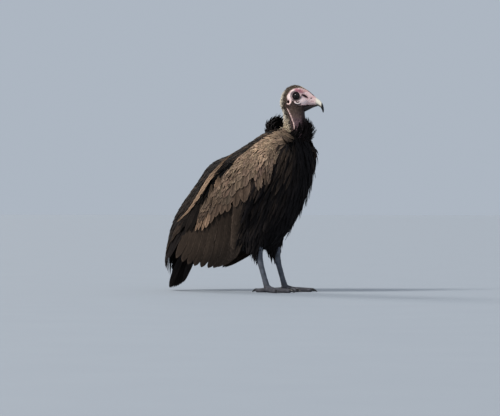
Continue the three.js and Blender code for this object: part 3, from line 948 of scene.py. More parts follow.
@dataclass
class Wing:
    """One folded wing: quills, three orders of coverts and the long inner feathers."""

    side: Side
    shell: Sections
    surface: Surface
    seed: int
    secondary_tips: tuple[tuple[float, float], ...] = (
        (-50, 152), (-56, 132), (-66, 112), (-75, 96), (-84, 84), (-93, 75), (-103, 68), (-113, 62),
        (-124, 57), (-134, 54), (-144, 52), (-155, 52), (-169, 54), (-183, 57), (-197, 61), (-211, 67),
        (-226, 76),
    )  # fmt: skip
    secondary_half: float = 12.5 * MM
    secondary_length: float = 190 * MM
    primaries: int = 9
    greater_coverts: tuple[tuple[float, float, float], ...] = (
        # tip X, half width and length in millimetres, from the front one to the rear one
        (-20, 15.5, 86), (-43, 13, 88), (-66, 12, 86), (-84, 11, 84), (-101, 10, 80), (-117, 8.5, 76),
        (-131, 6.5, 72), (-143, 5.0, 66), (-153, 4.4, 60), (-163, 4.0, 56),
    )  # fmt: skip
    rng: np.random.Generator = field(init=False)

    def __post_init__(self) -> None:
        """Starts the wing's own chances."""
        self.rng = np.random.default_rng(self.seed)

    def lie(self, point: Array) -> Array:
        """The lie of the feathers at a point: along the ridge on top, down on the flank."""
        x, y, z = to_design(point)
        ridge = np.array([(row[0], row[1]) for row in WING_SECTIONS[::-1]])[1:]
        crest = np.interp(x, ridge[:, 0], ridge[:, 1])
        slope = np.interp(x + 12, ridge[:, 0], ridge[:, 1]) - np.interp(x - 12, ridge[:, 0], ridge[:, 1])
        back = unit(np.array([-24.0, 0.0, -slope]))
        lean = np.interp(x, (-240, -150, -30, 60), (-0.62, -0.4, -0.16, -0.02))
        flank = unit(np.array([lean, 0.0, -1.0]))
        share = ramp(6, 78, crest - z)
        heading = back * (1 - share) + flank * share
        heading[1] = -0.1 * np.sign(y) * (1 - share)
        return unit(heading)

    def covert_edge(self, x: Array) -> Array:
        """The height of the pale coverts' lower edge at X."""
        edge = np.array(COVERT_EDGE)
        return np.interp(x, edge[:, 0], edge[:, 1])

    def pale(self, z: float, spread: float = 0.13) -> Array:
        """The colour of one pale covert at a height, paler towards the top: partly its own tone and partly
        painted light on the upper wing.
        """
        stops = [linear(76, 63, 53), linear(108, 91, 77), linear(146, 124, 104)]
        tone = np.array([np.interp(z, (170, 260, 345), [stop[i] for stop in stops]) for i in range(3)])
        return tone * (1 + spread * self.rng.normal()) * (1 + 0.02 * self.rng.normal(size=3))

    def laid(
        self,
        vanes: Vanes,
        tip: Array,
        length: float,
        half: float,
        tone: Array,
        lift: tuple[float, float],
        roll: float,
        steps: int = 8,
        yaw: float = 0.0,
    ) -> None:
        """Lays one feather over the wing so that it ends at a tip.

        Args:
            vanes: The group that it joins.
            tip: Its end, in frame metres.
            length: Its length in metres.
            half: Half its greatest width in metres.
            tone: Its colour in linear light.
            lift: Its height over the wing at the root and at the tip, in metres.
            roll: Its turn about its shaft in radians.
            steps: How many points of the wing it follows.
            yaw: How far it turns off the lie, in radians.
        """
        line, normals = self.surface.walk(tip, self.lie, length, steps, yaw)
        vanes.add(line, normals, half, tone, lift, roll)

    def quills(self) -> Vanes:
        """The secondaries and primaries."""
        vanes = Vanes(f"wing_quills_{self.side.label}", QUILL, self.seed + 1)
        rng = self.rng
        sign = self.side.value
        for i, (x, z) in enumerate(self.secondary_tips):
            tip = self.surface.from_side(self.side, x, z)
            tone = linear(68, 57, 49) * rng.uniform(0.75, 1.15)
            tone = tone * float(np.interp(x, (-170, -120, -75, -50), (0.7, 1.0, 1.0, 0.6)))
            length = self.secondary_length * rng.uniform(0.96, 1.04)
            lift = (-7.0 * MM - 0.12 * MM * i, (-2.2 - 0.1 * (i % 2)) * MM)
            self.laid(vanes, tip, length, self.secondary_half, tone, lift, sign * 0.12, 12)
        for i in range(self.primaries):
            share = i / (self.primaries - 1)
            angle = math.radians(162 - 62 * share)
            if self.side is Side.LEFT:
                angle = math.pi - angle
            end = 0.83 + 0.14 * share**0.8
            along = np.linspace(0.5, end, 12)
            line = self.shell.point(along, angle)
            normals = unit(line - self.shell.centre(along))
            tone = linear(30, 26, 25) * rng.uniform(0.8, 1.2)
            lift = (-9.0 * MM, (-3.5 + 0.35 * (i % 3)) * MM)
            vanes.add(line, normals, 10.5 * MM, tone, lift, sign * 0.1)
        return vanes

    def greater(self) -> Vanes:
        """The greater coverts, whose tips make the pale area's lower edge."""
        vanes = Vanes(f"greater_coverts_{self.side.label}", COVERT, self.seed + 2)
        sign = self.side.value
        for i, (x, half, length) in enumerate(self.greater_coverts):
            z = float(self.covert_edge(x)) + self.rng.uniform(-2, 2)
            tip = self.surface.from_side(self.side, x, z)
            tone = linear(84, 69, 58) * self.rng.uniform(0.88, 1.12)
            if half < 7:
                tone = linear(124, 101, 83) * self.rng.uniform(0.85, 1.1)
            lift = (-5.0 * MM, (-0.6 - 0.25 * (i % 2)) * MM)
            self.laid(vanes, tip, length * MM, half * MM, tone, lift, sign * 0.13, 9)
        # two looser rows lie over their bases
        for up, pitch, widest in ((26, 13.0, 10.5), (44, 12.0, 9.5)):
            for x in np.arange(2, -158, -pitch):
                z = float(self.covert_edge(x)) + up * (1.25 if x > -60 else 0.9) + self.rng.uniform(-7, 7)
                if outside(np.array([x, z]), COVERTS_OUTLINE) > -1:
                    continue
                tip = self.surface.from_side(self.side, x + self.rng.uniform(-3, 3), z)
                half = np.interp(x, (-150, -40), (5.5, widest)) * self.rng.uniform(0.8, 1.15)
                length = np.interp(x, (-150, -20), (48, 62)) * self.rng.uniform(0.9, 1.1)
                tone = self.pale(z, 0.1)
                self.laid(vanes, tip, length * MM, half * MM, tone, (-4.8 * MM, -0.4 * MM), sign * 0.1, 8)
        return vanes

    def small_coverts(self) -> Vanes:
        """The median and lesser coverts, smaller towards the shoulder."""
        vanes = Vanes(f"small_coverts_{self.side.label}", SMALL_COVERT, self.seed + 3)
        sign = self.side.value

        clumps, patches = Ripples(self.seed + 8, 0.034), Ripples(self.seed + 9, 0.014)

        def size(points: Array) -> Array:
            """The distance between tips, less towards the shoulder."""
            design = to_design(points)
            above = design[:, 2] - self.covert_edge(design[:, 0])
            return np.interp(above, (30, 70, 130), (8.0, 5.9, 4.5)) * MM

        def keep(points: Array) -> Array:
            """Which points lie in the pale area on this side."""
            design = to_design(points)
            view = design[:, [0, 2]]
            mine = design[:, 1] * sign > 12
            above = design[:, 2] - self.covert_edge(design[:, 0])
            least = np.interp(design[:, 0], (-150, -60, -30, 4, 14), (26, 48, 60, 52, 0))
            rooted = outside(view + np.array([9.0, 24.0]), COVERTS_OUTLINE) < 2
            within = (outside(view, COVERTS_OUTLINE) < 0) & (above > least)
            return mine & within & (rooted | (view[:, 0] > -55))

        tips = self.surface.scatter(self.seed + 4, size, keep)
        for tip, scale in zip(tips, size(tips)):
            x, _, z = to_design(tip)
            half = scale * self.rng.uniform(0.55, 0.95)
            length = half * self.rng.uniform(5.0, 8.0)
            above = z - float(self.covert_edge(x))
            if above < 30:
                half, length = self.rng.uniform(3.6, 5.2) * MM, self.rng.uniform(38, 50) * MM
            uneven = float(clumps(tip[None])[0])
            # towards the wing's front edge the coverts are painted darker as shade
            front = np.interp(z, *np.array(COVERT_FRONT).T[::-1])
            shade = float(ramp(34, 2, front - x)) * (0.6 + 0.4 * self.rng.uniform())
            tone = mix(self.pale(z, 0.2), linear(58, 49, 43), 0.75 * shade)
            tone *= 1 + 0.14 * uneven + 0.12 * float(patches(tip[None])[0])
            lift = (-4.4 * MM, (0.1 + 0.7 * uneven) * MM + self.rng.uniform(-0.4, 0.5) * MM)
            roll = sign * (0.05 + 0.1 * uneven + self.rng.normal(0, 0.08))
            self.laid(vanes, tip, length, half, tone, lift, roll, 7, self.rng.normal(0, 0.16))
        return vanes

    def back(self) -> Vanes:
        """The long dark feathers between the coverts and the ridge, and those in the grooves, painted near black
        as shadow.
        """
        vanes = Vanes(f"back_feathers_{self.side.label}", COVERT, self.seed + 5)
        sign = self.side.value

        def keep(points: Array) -> Array:
            """Which points lie above the pale area on this side."""
            design = to_design(points)
            view = design[:, [0, 2]]
            out = outside(view, COVERTS_OUTLINE)
            upper = design[:, 2] > np.interp(design[:, 0], (-285, -230, -165, -16, 70), (60, 130, 138, 332, 372))
            return (design[:, 1] * sign > 0) & (out > 0) & upper

        tips = self.surface.scatter(
            self.seed + 6, lambda p: np.interp(to_design(p)[:, 0], (-160, 0), (14.0, 8.5)) * MM, keep
        )
        for tip in tips:
            x, _, z = to_design(tip)
            view = np.array([x, z])
            near = outside(view, COVERTS_OUTLINE)
            long = np.interp(x, (-200, -60, 20, 50), (104, 76, 38, 24)) * self.rng.uniform(0.85, 1.15)
            half = np.interp(x, (-200, -60, 20, 50), (10.5, 8.4, 5.0, 3.0)) * self.rng.uniform(0.85, 1.15)
            brightness = self.rng.uniform(0.7, 1.3)
            streak = float(np.interp(x, (-200, -90, -20), (0.3, 0.4, 1.0))) * self.rng.uniform(0, 1) ** 2
            tone = mix(linear(20, 17, 16), linear(78, 64, 53), streak)
            gap = min(float(outside(view, groove)) for groove in GROOVES)
            deep = float(np.interp(gap, (-4, 6), (4.2, 0.0)))
            # feathers in the grooves and just above the coverts are painted near black as shadow
            if gap < 2 or near < 5:
                tone, long, half = linear(2, 2, 3), long * 0.7, half * 0.8
            lift = ((-5.0 - deep) * MM, (-0.8 - deep) * MM)
            self.laid(vanes, tip, long * MM, half * MM, tone * brightness, lift, sign * 0.1, 8)
        # the pale edges of the long inner feathers follow one another beside the gaps; their tone is partly their
        # own and partly a painted highlight
        edge = catmull([self.surface.from_side(self.side, x, z) for x, z in PALE_EDGE], 60)
        starts, halves = (0, 4, 8, 12, 16, 21, 26, 31, 36, 41), (2.6, 3.6, 4.8, 5.8, 6.6, 6.8, 6.0, 4.6, 3.4, 2.6)
        for start, half in zip(starts, halves):
            near = [self.surface.nearest(point) for point in edge[start : start + 19 : 3]]
            stem, normals = (np.array(column) for column in zip(*near))
            fade = float(np.interp(start, (0, 12, 30, 41), (0.35, 1.0, 1.0, 0.6)))
            tone = linear(138, 114, 94) * self.rng.uniform(0.75, 1.1) * fade
            lift = (-1.6 * MM, (1.4 + self.rng.uniform(0, 1.4)) * MM)
            vanes.add(stem, normals, half * MM, tone, lift, sign * -0.1)
        # one broad feather bridges the gaps
        bridge = self.surface.from_side(self.side, -96, 240)
        self.laid(vanes, bridge, 25 * MM, 7.5 * MM, linear(104, 84, 68), (-2.0 * MM, 1.0 * MM), 0.2)
        return vanes


# ---- Body, tail and ruff ----


@dataclass
class BodyCoat:
    """The dark plumes of the breast, belly, vent and thighs."""

    surface: Surface
    wings: Surface
    seed: int = 70
    belly_top: float = 190.0  # the height of the belly plumes' highest tips, in design millimetres

    def lie(self, point: Array) -> Array:
        """The lie of the plumes at a point."""
        x, y, z = to_design(point)
        back = np.interp(z, (60, 130, 240, 380), (-0.12, -0.5, -0.42, -0.2))
        if x < -120:
            return unit(np.array([-0.62, 0.0, -0.8]))
        out = np.clip(y / 60, -1, 1) * np.interp(z, (200, 370), (0.05, 0.35))
        return unit(np.array([back, out, -1.0]))

    def front_edge(self, z: Array) -> Array:
        """The X in front of which the plumes lie over the wing's edge, at a height."""
        heights = (84, 110, 150, 206, 220, 232, 245, 282, 309, 345, 370)
        return np.interp(z, heights, (-78, -63, -45, -27, -4, 16, 37, 50, 58, 56, 48))

    def keep(self, points: Array) -> Array:
        """Which points of the surface carry plumes."""
        design = to_design(points)
        ahead = design[:, 0] > self.front_edge(design[:, 2]) - 12 * (design[:, 1] > 0)
        off_wing = np.array([self.wings.tree.find_nearest(Vector(p))[3] > 5 * MM for p in points])
        under_mantle = (design[:, 2] > 330) & (design[:, 0] < 30)
        high = design[:, 2] > np.where(np.abs(design[:, 1]) > 34, 352, 378)
        return (ahead | off_wing) & ~under_mantle & ~high & (design[:, 2] > 58)

    def build(self) -> list[Vanes]:
        """The plumes in two meshes: long ones in front, shorter ones below."""
        rng = np.random.default_rng(self.seed)
        breast = Vanes("breast_plumes", PLUME, self.seed + 1)
        lower = Vanes("belly_plumes", PLUME, self.seed + 2)

        def size(points: Array) -> Array:
            """The distance between tips, more on the breast."""
            z = to_design(points)[:, 2]
            return np.interp(z, (60, 120, 260), (5.4, 8.0, 9.0)) * MM

        for tip in self.surface.scatter(self.seed + 3, size, self.keep):
            _, y, z = to_design(tip)
            long = np.interp(z, (60, 130, 230), (30, 56, 80)) * rng.uniform(0.8, 1.2)
            half = np.interp(z, (60, 130, 230), (2.8, 4.2, 5.0)) * rng.uniform(0.75, 1.2)
            brown = float(np.interp(z, (90, 190, 260), (0.1, 0.5, 1.0))) * rng.uniform(0, 1) ** 2
            brown *= float(ramp(20, 70, abs(y)))
            # the near-black base is the plumes' own dark brown, partly deepened as painted shade
            tone = mix(linear(22, 20, 21), linear(64, 53, 45), brown) * rng.uniform(0.7, 1.3)
            loose = rng.uniform(0, 1) < 0.12 and z < 325
            lift = (-5.0 * MM, (rng.uniform(3.0, 7.5) if loose else rng.uniform(-0.5, 1.8)) * MM)
            line, normals = self.surface.walk(tip, self.lie, long * MM, 8)
            group = lower if z < self.belly_top else breast
            group.add(line, normals, half * MM, tone, lift, rng.normal(0, 0.2))
        return [breast, lower]


@dataclass
class Tail:
    """The twelve tail feathers."""

    feathers: int = 12
    length: float = 222
    half_width: float = 46
    vane_half: float = 15
    layer: float = 3.2 * 0.55  # how much higher each feather lies than the next one out
    stations: int = 14
    seed: int = 90

    def build(self) -> Vanes:
        """The tail's feathers, laid like the solid's."""
        vanes = Vanes("tail_feathers", QUILL, self.seed)
        rng = np.random.default_rng(self.seed)
        dense = catmull(TAIL_LINE, 200)
        for i in range(self.feathers):
            share = 2 * i / (self.feathers - 1) - 1
            reach = 1 - 16 * share * share / self.length
            along = np.linspace(0, reach * 0.985, self.stations)
            at = np.array([np.interp(along * 199, np.arange(200), dense[:, axis]) for axis in range(3)]).T
            tangent = unit(np.gradient(at, axis=0))
            above = self.layer * self.feathers / 2 * (1 - abs(share))
            at[:, 1] = share * (0.35 + 0.65 * along) * (self.half_width - self.vane_half)
            normal = np.stack([tangent[:, 2], np.zeros(self.stations), -tangent[:, 0]], axis=-1)
            at += normal * above
            line = from_design(at)
            line[:, 2] = np.maximum(line[:, 2], 1.2 * MM)
            tone = linear(34, 29, 27) * rng.uniform(0.8, 1.2)
            vanes.add(line, normal, self.vane_half * MM, tone, (0.0, 0.0), -share * 0.06)
        return vanes


@dataclass
class Ruff:
    """The collar of stiff dark plumes round the base of the neck, drawn together in ragged points."""

    shell: Sections
    seed: int = 110
    clumps: int = 54
    per_clump: int = 5
    rim_drop: float = 15.0  # how much lower the rim lies on the stretched right side
    # from, reach and inset in mm of each row, from the outer one to the one round the neck
    rows: tuple[tuple[float, float, float], ...] = (
        (0.0, 0.4, 3), (0.05, 0.58, 8), (0.1, 0.76, 14), (0.2, 0.9, 21), (0.25, 1.0, 29),
    )  # fmt: skip
    # bearing in degrees (90 is the back, 180 the right, 270 the front), height as a share, flare in mm
    rim: tuple[tuple[float, float, float], ...] = (
        (0, 0.9, 5), (60, 0.95, 4), (92, 1.0, 4), (120, 0.92, 3), (150, 0.62, 2), (190, 0.46, 2), (218, 0.62, 2),
        (240, 0.9, 2), (265, 1.04, 4), (300, 1.06, 8), (330, 1.04, 9), (360, 0.9, 5),
    )  # fmt: skip

    def build(self) -> Vanes:
        """Rows of clumps that stand up and out from the shoulders."""
        vanes = Vanes("ruff_plumes", SPIKE, self.seed)
        rng = np.random.default_rng(self.seed)
        rim = np.array(self.rim)
        steps = 8
        t = np.linspace(0, 1, steps)
        for row, (low, reach, inset) in enumerate(self.rows):
            for clump in range(self.clumps):
                middle = 360 * (clump + 0.33 * row + rng.uniform(-0.35, 0.35)) / self.clumps
                height, flare = (np.interp(middle % 360, rim[:, 0], rim[:, i]) for i in (1, 2))
                high = min(height * reach * rng.uniform(0.82, 1.08), 1.0)
                flare = flare * rng.uniform(0.2, 1.6) - 0.66 * inset
                lean = rng.normal(0, 5)
                for _ in range(self.per_clump):
                    start = middle + rng.uniform(-7, 7)
                    end = middle + lean + rng.normal(0, 1.6)
                    top = max(high + rng.normal(0, 0.05), low + 0.25)
                    bearing = np.radians(start + (end - start) * t**0.8)
                    along = low + (min(top, 1.0) - low) * t
                    line = self.shell.point(along, bearing)
                    out = unit(line - self.shell.centre(along))
                    sunk = (inset * (1 - t) - flare * t**2.4)[:, None] * MM
                    line = line - out * sunk
                    line[:, 2] += max(top - 1.0, 0.0) * 60 * MM * t**2
                    drop = self.rim_drop * float(ramp(0, 45, -to_design(line[-1])[1]))
                    line[:, 2] -= drop * MM * t**1.5
                    tone = linear(24, 20, 20) * rng.uniform(0.6, 1.6)
                    vanes.add(line, out, rng.uniform(1.5, 2.8) * MM, tone, (0.0, 0.0), rng.normal(0, 0.4))
        return vanes


# ---- Dressing ----


def dress(piece: Object, material: Material, replaced: Sequence[str] = ()) -> None:
    """Gives a piece its finish, its body and the solids that it stands for, and reports it.

    Args:
        piece: The finished mesh.
        material: What it is made of.
        replaced: The frame's nodes that the piece takes the place of.
    """
    piece.data.materials.clear()
    piece.data.materials.append(material)
    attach(piece, BODY)
    if replaced:
        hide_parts(*replaced)
    piece.data.calc_loop_triangles()
    log.info("%s: %d triangles", piece.name, len(piece.data.loop_triangles))


def both(*names: str) -> list[str]:
    """The names of nodes that come in a right and a left one."""
    return [f"{name}_{side.label}" for name in names for side in Side]


# ---- Modelled flesh: distance fields in millimetres ----


def smooth_union(a: Array, b: Array, blend: float) -> Array:
    """Two bodies run together over a width of blend."""
    share = np.clip(0.5 + 0.5 * (b - a) / blend, 0, 1)
    return b * (1 - share) + a * share - blend * share * (1 - share)


def smooth_cut(a: Array, b: Array, blend: float) -> Array:
    """Body a with body b pressed into it."""
    return -smooth_union(-a, b, blend)


def rod(points: Array, stations: Table) -> Array:
    """A chain of round cones as a distance field.

    Args:
        points: Where the distance is wanted, in millimetres.
        stations: The chain's stations, each x, y, z and radius.

    Returns:
        The distance, negative inside.
    """
    best = np.full(points.shape[:-1], 1e3, dtype=points.dtype)
    table = np.array(stations, dtype=points.dtype)
    for a, b in zip(table, table[1:]):
        axis = b[:3] - a[:3]
        share = np.clip(((points - a[:3]) @ axis) / (axis @ axis), 0, 1)
        gap = np.linalg.norm(points - a[:3] - share[..., None] * axis, axis=-1)
        best = np.minimum(best, gap - (a[3] + (b[3] - a[3]) * share))
    return best


def ball(points: Array, centre: Sequence[float], radii: Sequence[float]) -> Array:
    """Roughly the distance to an egg-shaped ball."""
    size = np.array(radii, dtype=points.dtype)
    scaled = (points - np.array(centre, dtype=points.dtype)) / size
    return (np.linalg.norm(scaled, axis=-1) - 1) * size.min()


def net(field_of: Flow, low: Sequence[float], high: Sequence[float], step: float) -> tuple[Array, Array]:
    """The closed surface where a distance field is zero, as an even net of quads.

    Args:
        field_of: The field, negative inside.
        low: The lowest corner of the space searched.
        high: The highest corner.
        step: The size of a cell.

    Returns:
        The vertices and the quads, facing outwards.
    """
    axes = [np.arange(a, b + step, step, dtype=np.float32) for a, b in zip(low, high)]
    shape = tuple(len(axis) for axis in axes)
    level = np.empty(shape, dtype=np.float32)
    plane = np.stack(np.meshgrid(axes[1], axes[2], indexing="ij"), axis=-1)
    slab = 16  # planes that are worked out together
    for start in range(0, shape[0], slab):
        rows = axes[0][start : start + slab]
        block = np.empty((len(rows), *plane.shape[:2], 3), dtype=np.float32)
        block[..., 0] = rows[:, None, None]
        block[..., 1:] = plane
        level[start : start + slab] = field_of(block)
    for axis in range(3):
        for end in (0, -1):
            face = [slice(None)] * 3
            face[axis] = end
            level[tuple(face)] = np.maximum(level[tuple(face)], 0.5 * step)
    inside = level < 0
    offsets = [(i, j, k) for i in (0, 1) for j in (0, 1) for k in (0, 1)]
    cells = tuple(n - 1 for n in shape)
    total = np.zeros(cells, dtype=np.int8)
    for i, j, k in offsets:
        total += inside[i : i + cells[0], j : j + cells[1], k : k + cells[2]]
    active = (total > 0) & (total < 8)
    where = np.argwhere(active)
    number = np.full(cells, -1, dtype=np.int64)
    number[active] = np.arange(len(where))
    position = np.zeros((len(where), 3))
    crossings = np.zeros(len(where))
    for a in offsets:
        for axis in range(3):
            if a[axis]:
                continue
            b = tuple(value + (n == axis) for n, value in enumerate(a))
            at_a = level[tuple((where + a).T)]
            at_b = level[tuple((where + b).T)]
            cross = (at_a < 0) != (at_b < 0)
            share = np.where(cross, at_a / np.where(cross, at_a - at_b, 1), 0)
            spot = np.array(a) + share[:, None] * (np.array(b) - np.array(a))
            position += spot * cross[:, None]
            crossings += cross
    points = (where + position / crossings[:, None]) * step + np.array(low)
    quads = []
    for axis in range(3):
        u, v = (axis + 1) % 3, (axis + 2) % 3
        ahead = np.roll(inside, -1, axis)
        change = inside != ahead
        for edge, index in ((axis, -1), (u, 0), (v, 0), (u, -1), (v, -1)):
            cut = [slice(None)] * 3
            cut[edge] = index
            change[tuple(cut)] = False
        at = np.argwhere(change)
        back_u, back_v = np.eye(3, dtype=int)[u], np.eye(3, dtype=int)[v]
        ring = [at - back_u - back_v, at - back_v, at, at - back_u]
        quad = np.stack([number[tuple(r.T)] for r in ring], axis=-1)
        outward = inside[tuple(at.T)]
        quads.append(np.where(outward[:, None], quad, quad[:, ::-1]))
    return points, np.concatenate(quads)


def relax(points: Array, quads: Array, field_of: Flow, rounds: int) -> Array:
    """Evens out a net and puts its vertices back on the surface.

    Args:
        points: The net's vertices.
        quads: Its faces.
        field_of: The distance field that it follows.
        rounds: How often it is evened out.

    Returns:
        The moved vertices.
    """
    pairs = np.concatenate([quads[:, [0, 1]], quads[:, [1, 2]], quads[:, [2, 3]], quads[:, [3, 0]]])
    degree = np.bincount(pairs.ravel(), minlength=len(points))[:, None]
    probe, own, least_slope, most = 0.2, 0.4, 0.15, 0.5  # most is the longest push, in millimetres
    for _ in range(rounds):
        total = np.zeros_like(points)
        np.add.at(total, pairs[:, 0], points[pairs[:, 1]])
        np.add.at(total, pairs[:, 1], points[pairs[:, 0]])
        points = points * own + total / degree * (1 - own)
        here = field_of(points)
        slope = np.stack([field_of(points + probe * np.eye(3)[i]) - here for i in range(3)], axis=-1) / probe
        push = here / np.maximum((slope**2).sum(axis=-1), least_slope)
        points = points - np.clip(push, -most, most)[:, None] * slope
    return points


# ---- Head ----

# The middle of the eyes is the head's origin, and X points along the bill.
SKULL = (
    # X, top, bottom and half width in millimetres
    (-28, 12, -38, 19),
    (-21, 19.2, -42, 21.8),
    (-7, 26.8, -44.5, 23.6),
    (7, 26.2, -41.5, 23.2),
    (17.5, 20.8, -35, 18.3),
    (25, 15.4, -21.6, 13.0),
    (33, 9.4, -21.2, 9.9),
    (40, 3.4, -20.6, 8.1),
    (46.6, -2.4, -20.8, 7.2),
    (52, -8, -22, 6),
)
NECK_AXIS = (
    # X, Y, Z and radius
    (-11.9, 0.0, -17, 20.0),
    (-4.0, -2.1, -38, 23.8),
    (-0.5, -3.8, -62, 24.4),
    (0.5, -4.4, -90, 25.5),
)
# The edge of the woolly hood in the side view of the head, from the forehead round to the throat.
HOOD_EDGE = (
    (27, 13.0), (17, 17.0), (8.7, 18.4), (0, 16.4), (-8.4, 11.2), (-13.5, 5), (-16.5, -2), (-17.4, -11),
    (-18.4, -18), (-20.8, -24), (-17.6, -33), (-14.2, -41.4), (-10.4, -52), (-6.4, -62.5), (-3.6, -75),
    (-2, -120),
)  # fmt: skip
HOOD = HOOD_EDGE + ((-90, -120), (-90, 60), (40, 60), (40, 12))
LORE = ((18.6, 2.3, 0.8), (22, 0.9, 1.5), (26, -1.8, 1.3), (28.6, -3.4, 0.6))  # X, Z and half width
POUCH_ARCS = (
    # radius, depth (a ridge is below 0), width, middle and spread in degrees
    (7.2, -1.3, 1.5, -92, 62),
    (10.0, 1.1, 1.2, -92, 52),
    (4.4, 0.9, 1.3, -95, 70),
)
FOLD_LINE = ((-75, 2.6), (-62.5, 0.4), (-52, -4), (-41.4, -8.4), (-33, -13), (-24.5, -17.6))  # Z and X


@dataclass
class Head:
    """The bare face, the neck and all that is modelled in them."""

    eye_at: tuple[float, float, float] = (4.3, 15.8, 0.0)
    eye_radius: float = 8.2
    lid_radius: float = 8.1
    lid_out: float = 19.4
    ear_at: tuple[float, float] = (-12.6, -13.6)  # X and Z, as for the next two
    nostril_at: tuple[float, float] = (38.0, -5.2)
    pouch_at: tuple[float, float] = (8.5, -10.4)  # the middle of the curved pouch below the eye
    step: float = 0.82
    middle: Array = field(init=False)
    turn: Array = field(init=False)

    def __post_init__(self) -> None:
        """Finds the head's place between the eyes, its profile and its unevenness."""
        right, left = (np.mean(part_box(f"eye_{side}"), axis=0) for side in ("right", "left"))
        sideways = unit(left - right)
        ahead = unit(np.cross(sideways, [0.0, 0.0, 1.0]))
        self.turn = np.stack([ahead, sideways, np.cross(ahead, sideways)])
        self.middle = (right + left) / 2 - ahead * self.eye_at[0] * MM
        profile = np.array(SKULL, dtype=float)
        dense = catmull(profile, 200)
        self.profile = dense[np.argsort(dense[:, 0])].astype(np.float32)
        self.fine = Ripples(3, 3.6, 28)
        self.broad = Ripples(4, 11.0, 16)
        self.pores = Ripples(5, 2.1, 24)

    def to_frame(self, points: Array) -> Array:
        """Millimetres in the head to frame metres."""
        return self.middle + (np.asarray(points) * MM) @ self.turn

    def to_head(self, points: Array) -> Array:
        """Frame metres to millimetres in the head."""
        return ((points - self.middle) @ self.turn.T) / MM

    def neck_frame(self, p: Array) -> tuple[Array, Array, Array, Array]:
        """Where a point lies about the neck's line: X, distance sideways, the line's X and its radius."""
        axis = np.array(NECK_AXIS)[::-1].astype(p.dtype)
        centre_x, centre_y, radius = (np.interp(p[..., 2], axis[:, 2], axis[:, i]) for i in (0, 1, 3))
        return p[..., 0], np.abs(p[..., 1] - centre_y), centre_x, radius

    def fold(self, p: Array, shift: float = 0.0) -> Array:
        """The distance to the line of the long fold beside the hood."""
        x, out, centre, radius = self.neck_frame(p)
        line = np.array(FOLD_LINE)
        at_x = np.interp(p[..., 2], line[:, 0], line[:, 1]) + shift
        at_y = np.sqrt(np.maximum((radius + 0.2) ** 2 - (at_x - centre) ** 2, 25))
        beyond = np.maximum(np.maximum(-78 - p[..., 2], p[..., 2] + 24), 0)
        return np.sqrt((x - at_x) ** 2 + (out - at_y) ** 2 + beyond**2)

    @staticmethod
    def arc(
        q: Array, at: tuple[float, float], radius: float, middle: float, spread: float
    ) -> tuple[Array, Array]:
        """How far points of the side view lie from part of a circle, and how far along it they are.

        Args:
            q: Points in the head.
            at: The circle's middle, X and Z.
            radius: Its radius.
            middle: The turn, in degrees from straight ahead, of the part's middle.
            spread: How far the part reaches to each side of that, in degrees.

        Returns:
            The distance, and a share that is 1 in the part's middle and 0 at its ends.
        """
        x, z = q[..., 0] - at[0], q[..., 2] - at[1]
        turn = np.degrees(np.arctan2(z, x))
        away = np.abs((turn - middle + 180) % 360 - 180) / spread
        return np.abs(np.hypot(x, z) - radius), np.sqrt(np.clip(1 - away**2, 0, 1))

    @staticmethod
    def stroke(q: Array, line: Table) -> Array:
        """The distance in the side view to a line of X, Z and half width."""
        flat = np.stack([q[..., 0], np.zeros_like(q[..., 0]), q[..., 2]], axis=-1)
        return rod(flat, [(x, 0.0, z, half) for x, z, half in line])

    def nostril(self, x: Array, z: Array, long: float, high: float) -> Array:
        """How far points of the side view lie from the slanting nostril, in its own sizes."""
        at_x, at_z = self.nostril_at
        return np.hypot((x - at_x) / long, (z - at_z - 0.25 * (x - at_x)) / high)

    def hood(self, p: Array) -> Array:
        """How far a point lies outside the woolly hood in the side view."""
        return outside(p[..., [0, 2]], HOOD)

    def form(self, p: Array) -> Array:
        """The distance field of the head and neck.

        Args:
            p: Points in the head's millimetres.

        Returns:
            The distance to the skin, negative inside.
        """
        q = np.stack([p[..., 0], np.abs(p[..., 1]), p[..., 2]], axis=-1)
        x, y, z = q[..., 0], q[..., 1], q[..., 2]
        top, bottom, half = (np.interp(x, self.profile[:, 0], self.profile[:, i]) for i in (1, 2, 3))
        high = (top - bottom) / 2
        across = np.abs((z - (top + bottom) / 2) / high) ** 2.25 + (y / half) ** 2.25
        face = (across ** (1 / 2.25) - 1) * np.minimum(high, half)
        face = np.maximum(face, np.maximum(-21 - x, x - 46.9))
        skull = smooth_union(face, ball(q, (-12, 0, -8.5), (24, 21.8, 29)), 5.0)
        neck = rod(p, NECK_AXIS)
        skin = smooth_union(skull, neck, 9.0)
        covered = ramp(1, -4, self.hood(p))
        skin = skin + 2.0 * covered
        skin = smooth_cut(skin, ball(q, (4.6, 31.5, 0.3), (14.2, 14.2, 13.6)), 4.0)
        brow = ((-11, 20.6, 7.6, 1.8), (-1, 20.4, 12.6, 2.9), (9, 17.6, 12.8, 2.9), (18, 12.4, 8.6, 2.0))
        skin = smooth_union(skin, rod(q, brow), 4.0)
        skin = smooth_union(skin, ball(q, (17.5, 12.0, -12.5), (8, 5.4, 6.5)), 5.0)
        reach = np.hypot(x - self.eye_at[0], z - self.eye_at[2])
        for out, height, tube, blend in ((0.0, 0.0, 1.2, 1.4), (2.7, 0.9, 0.8, 1.4)):
            lid = np.hypot(reach - self.lid_radius - out, y - self.lid_out - height) - tube
            skin = smooth_union(skin, lid, blend)
        side = ramp(4, 8, y)
        skin = skin + side * self.relief(q)
        skin = smooth_union(skin, self.fold(p) - 1.5, 1.4)
        skin = smooth_cut(skin, self.fold(p, -3.8) - 1.2, 1.6)
        bare = 1 - covered
        warp = self.broad(p)
        skin = skin + bare * self.wrinkles(x, z, warp) + bare * (0.075 * self.fine(p) + 0.03 * self.pores(p))
        socket = np.linalg.norm(q - np.array(self.eye_at, dtype=p.dtype), axis=-1) - self.eye_radius - 0.12
        return np.maximum(skin, -socket)

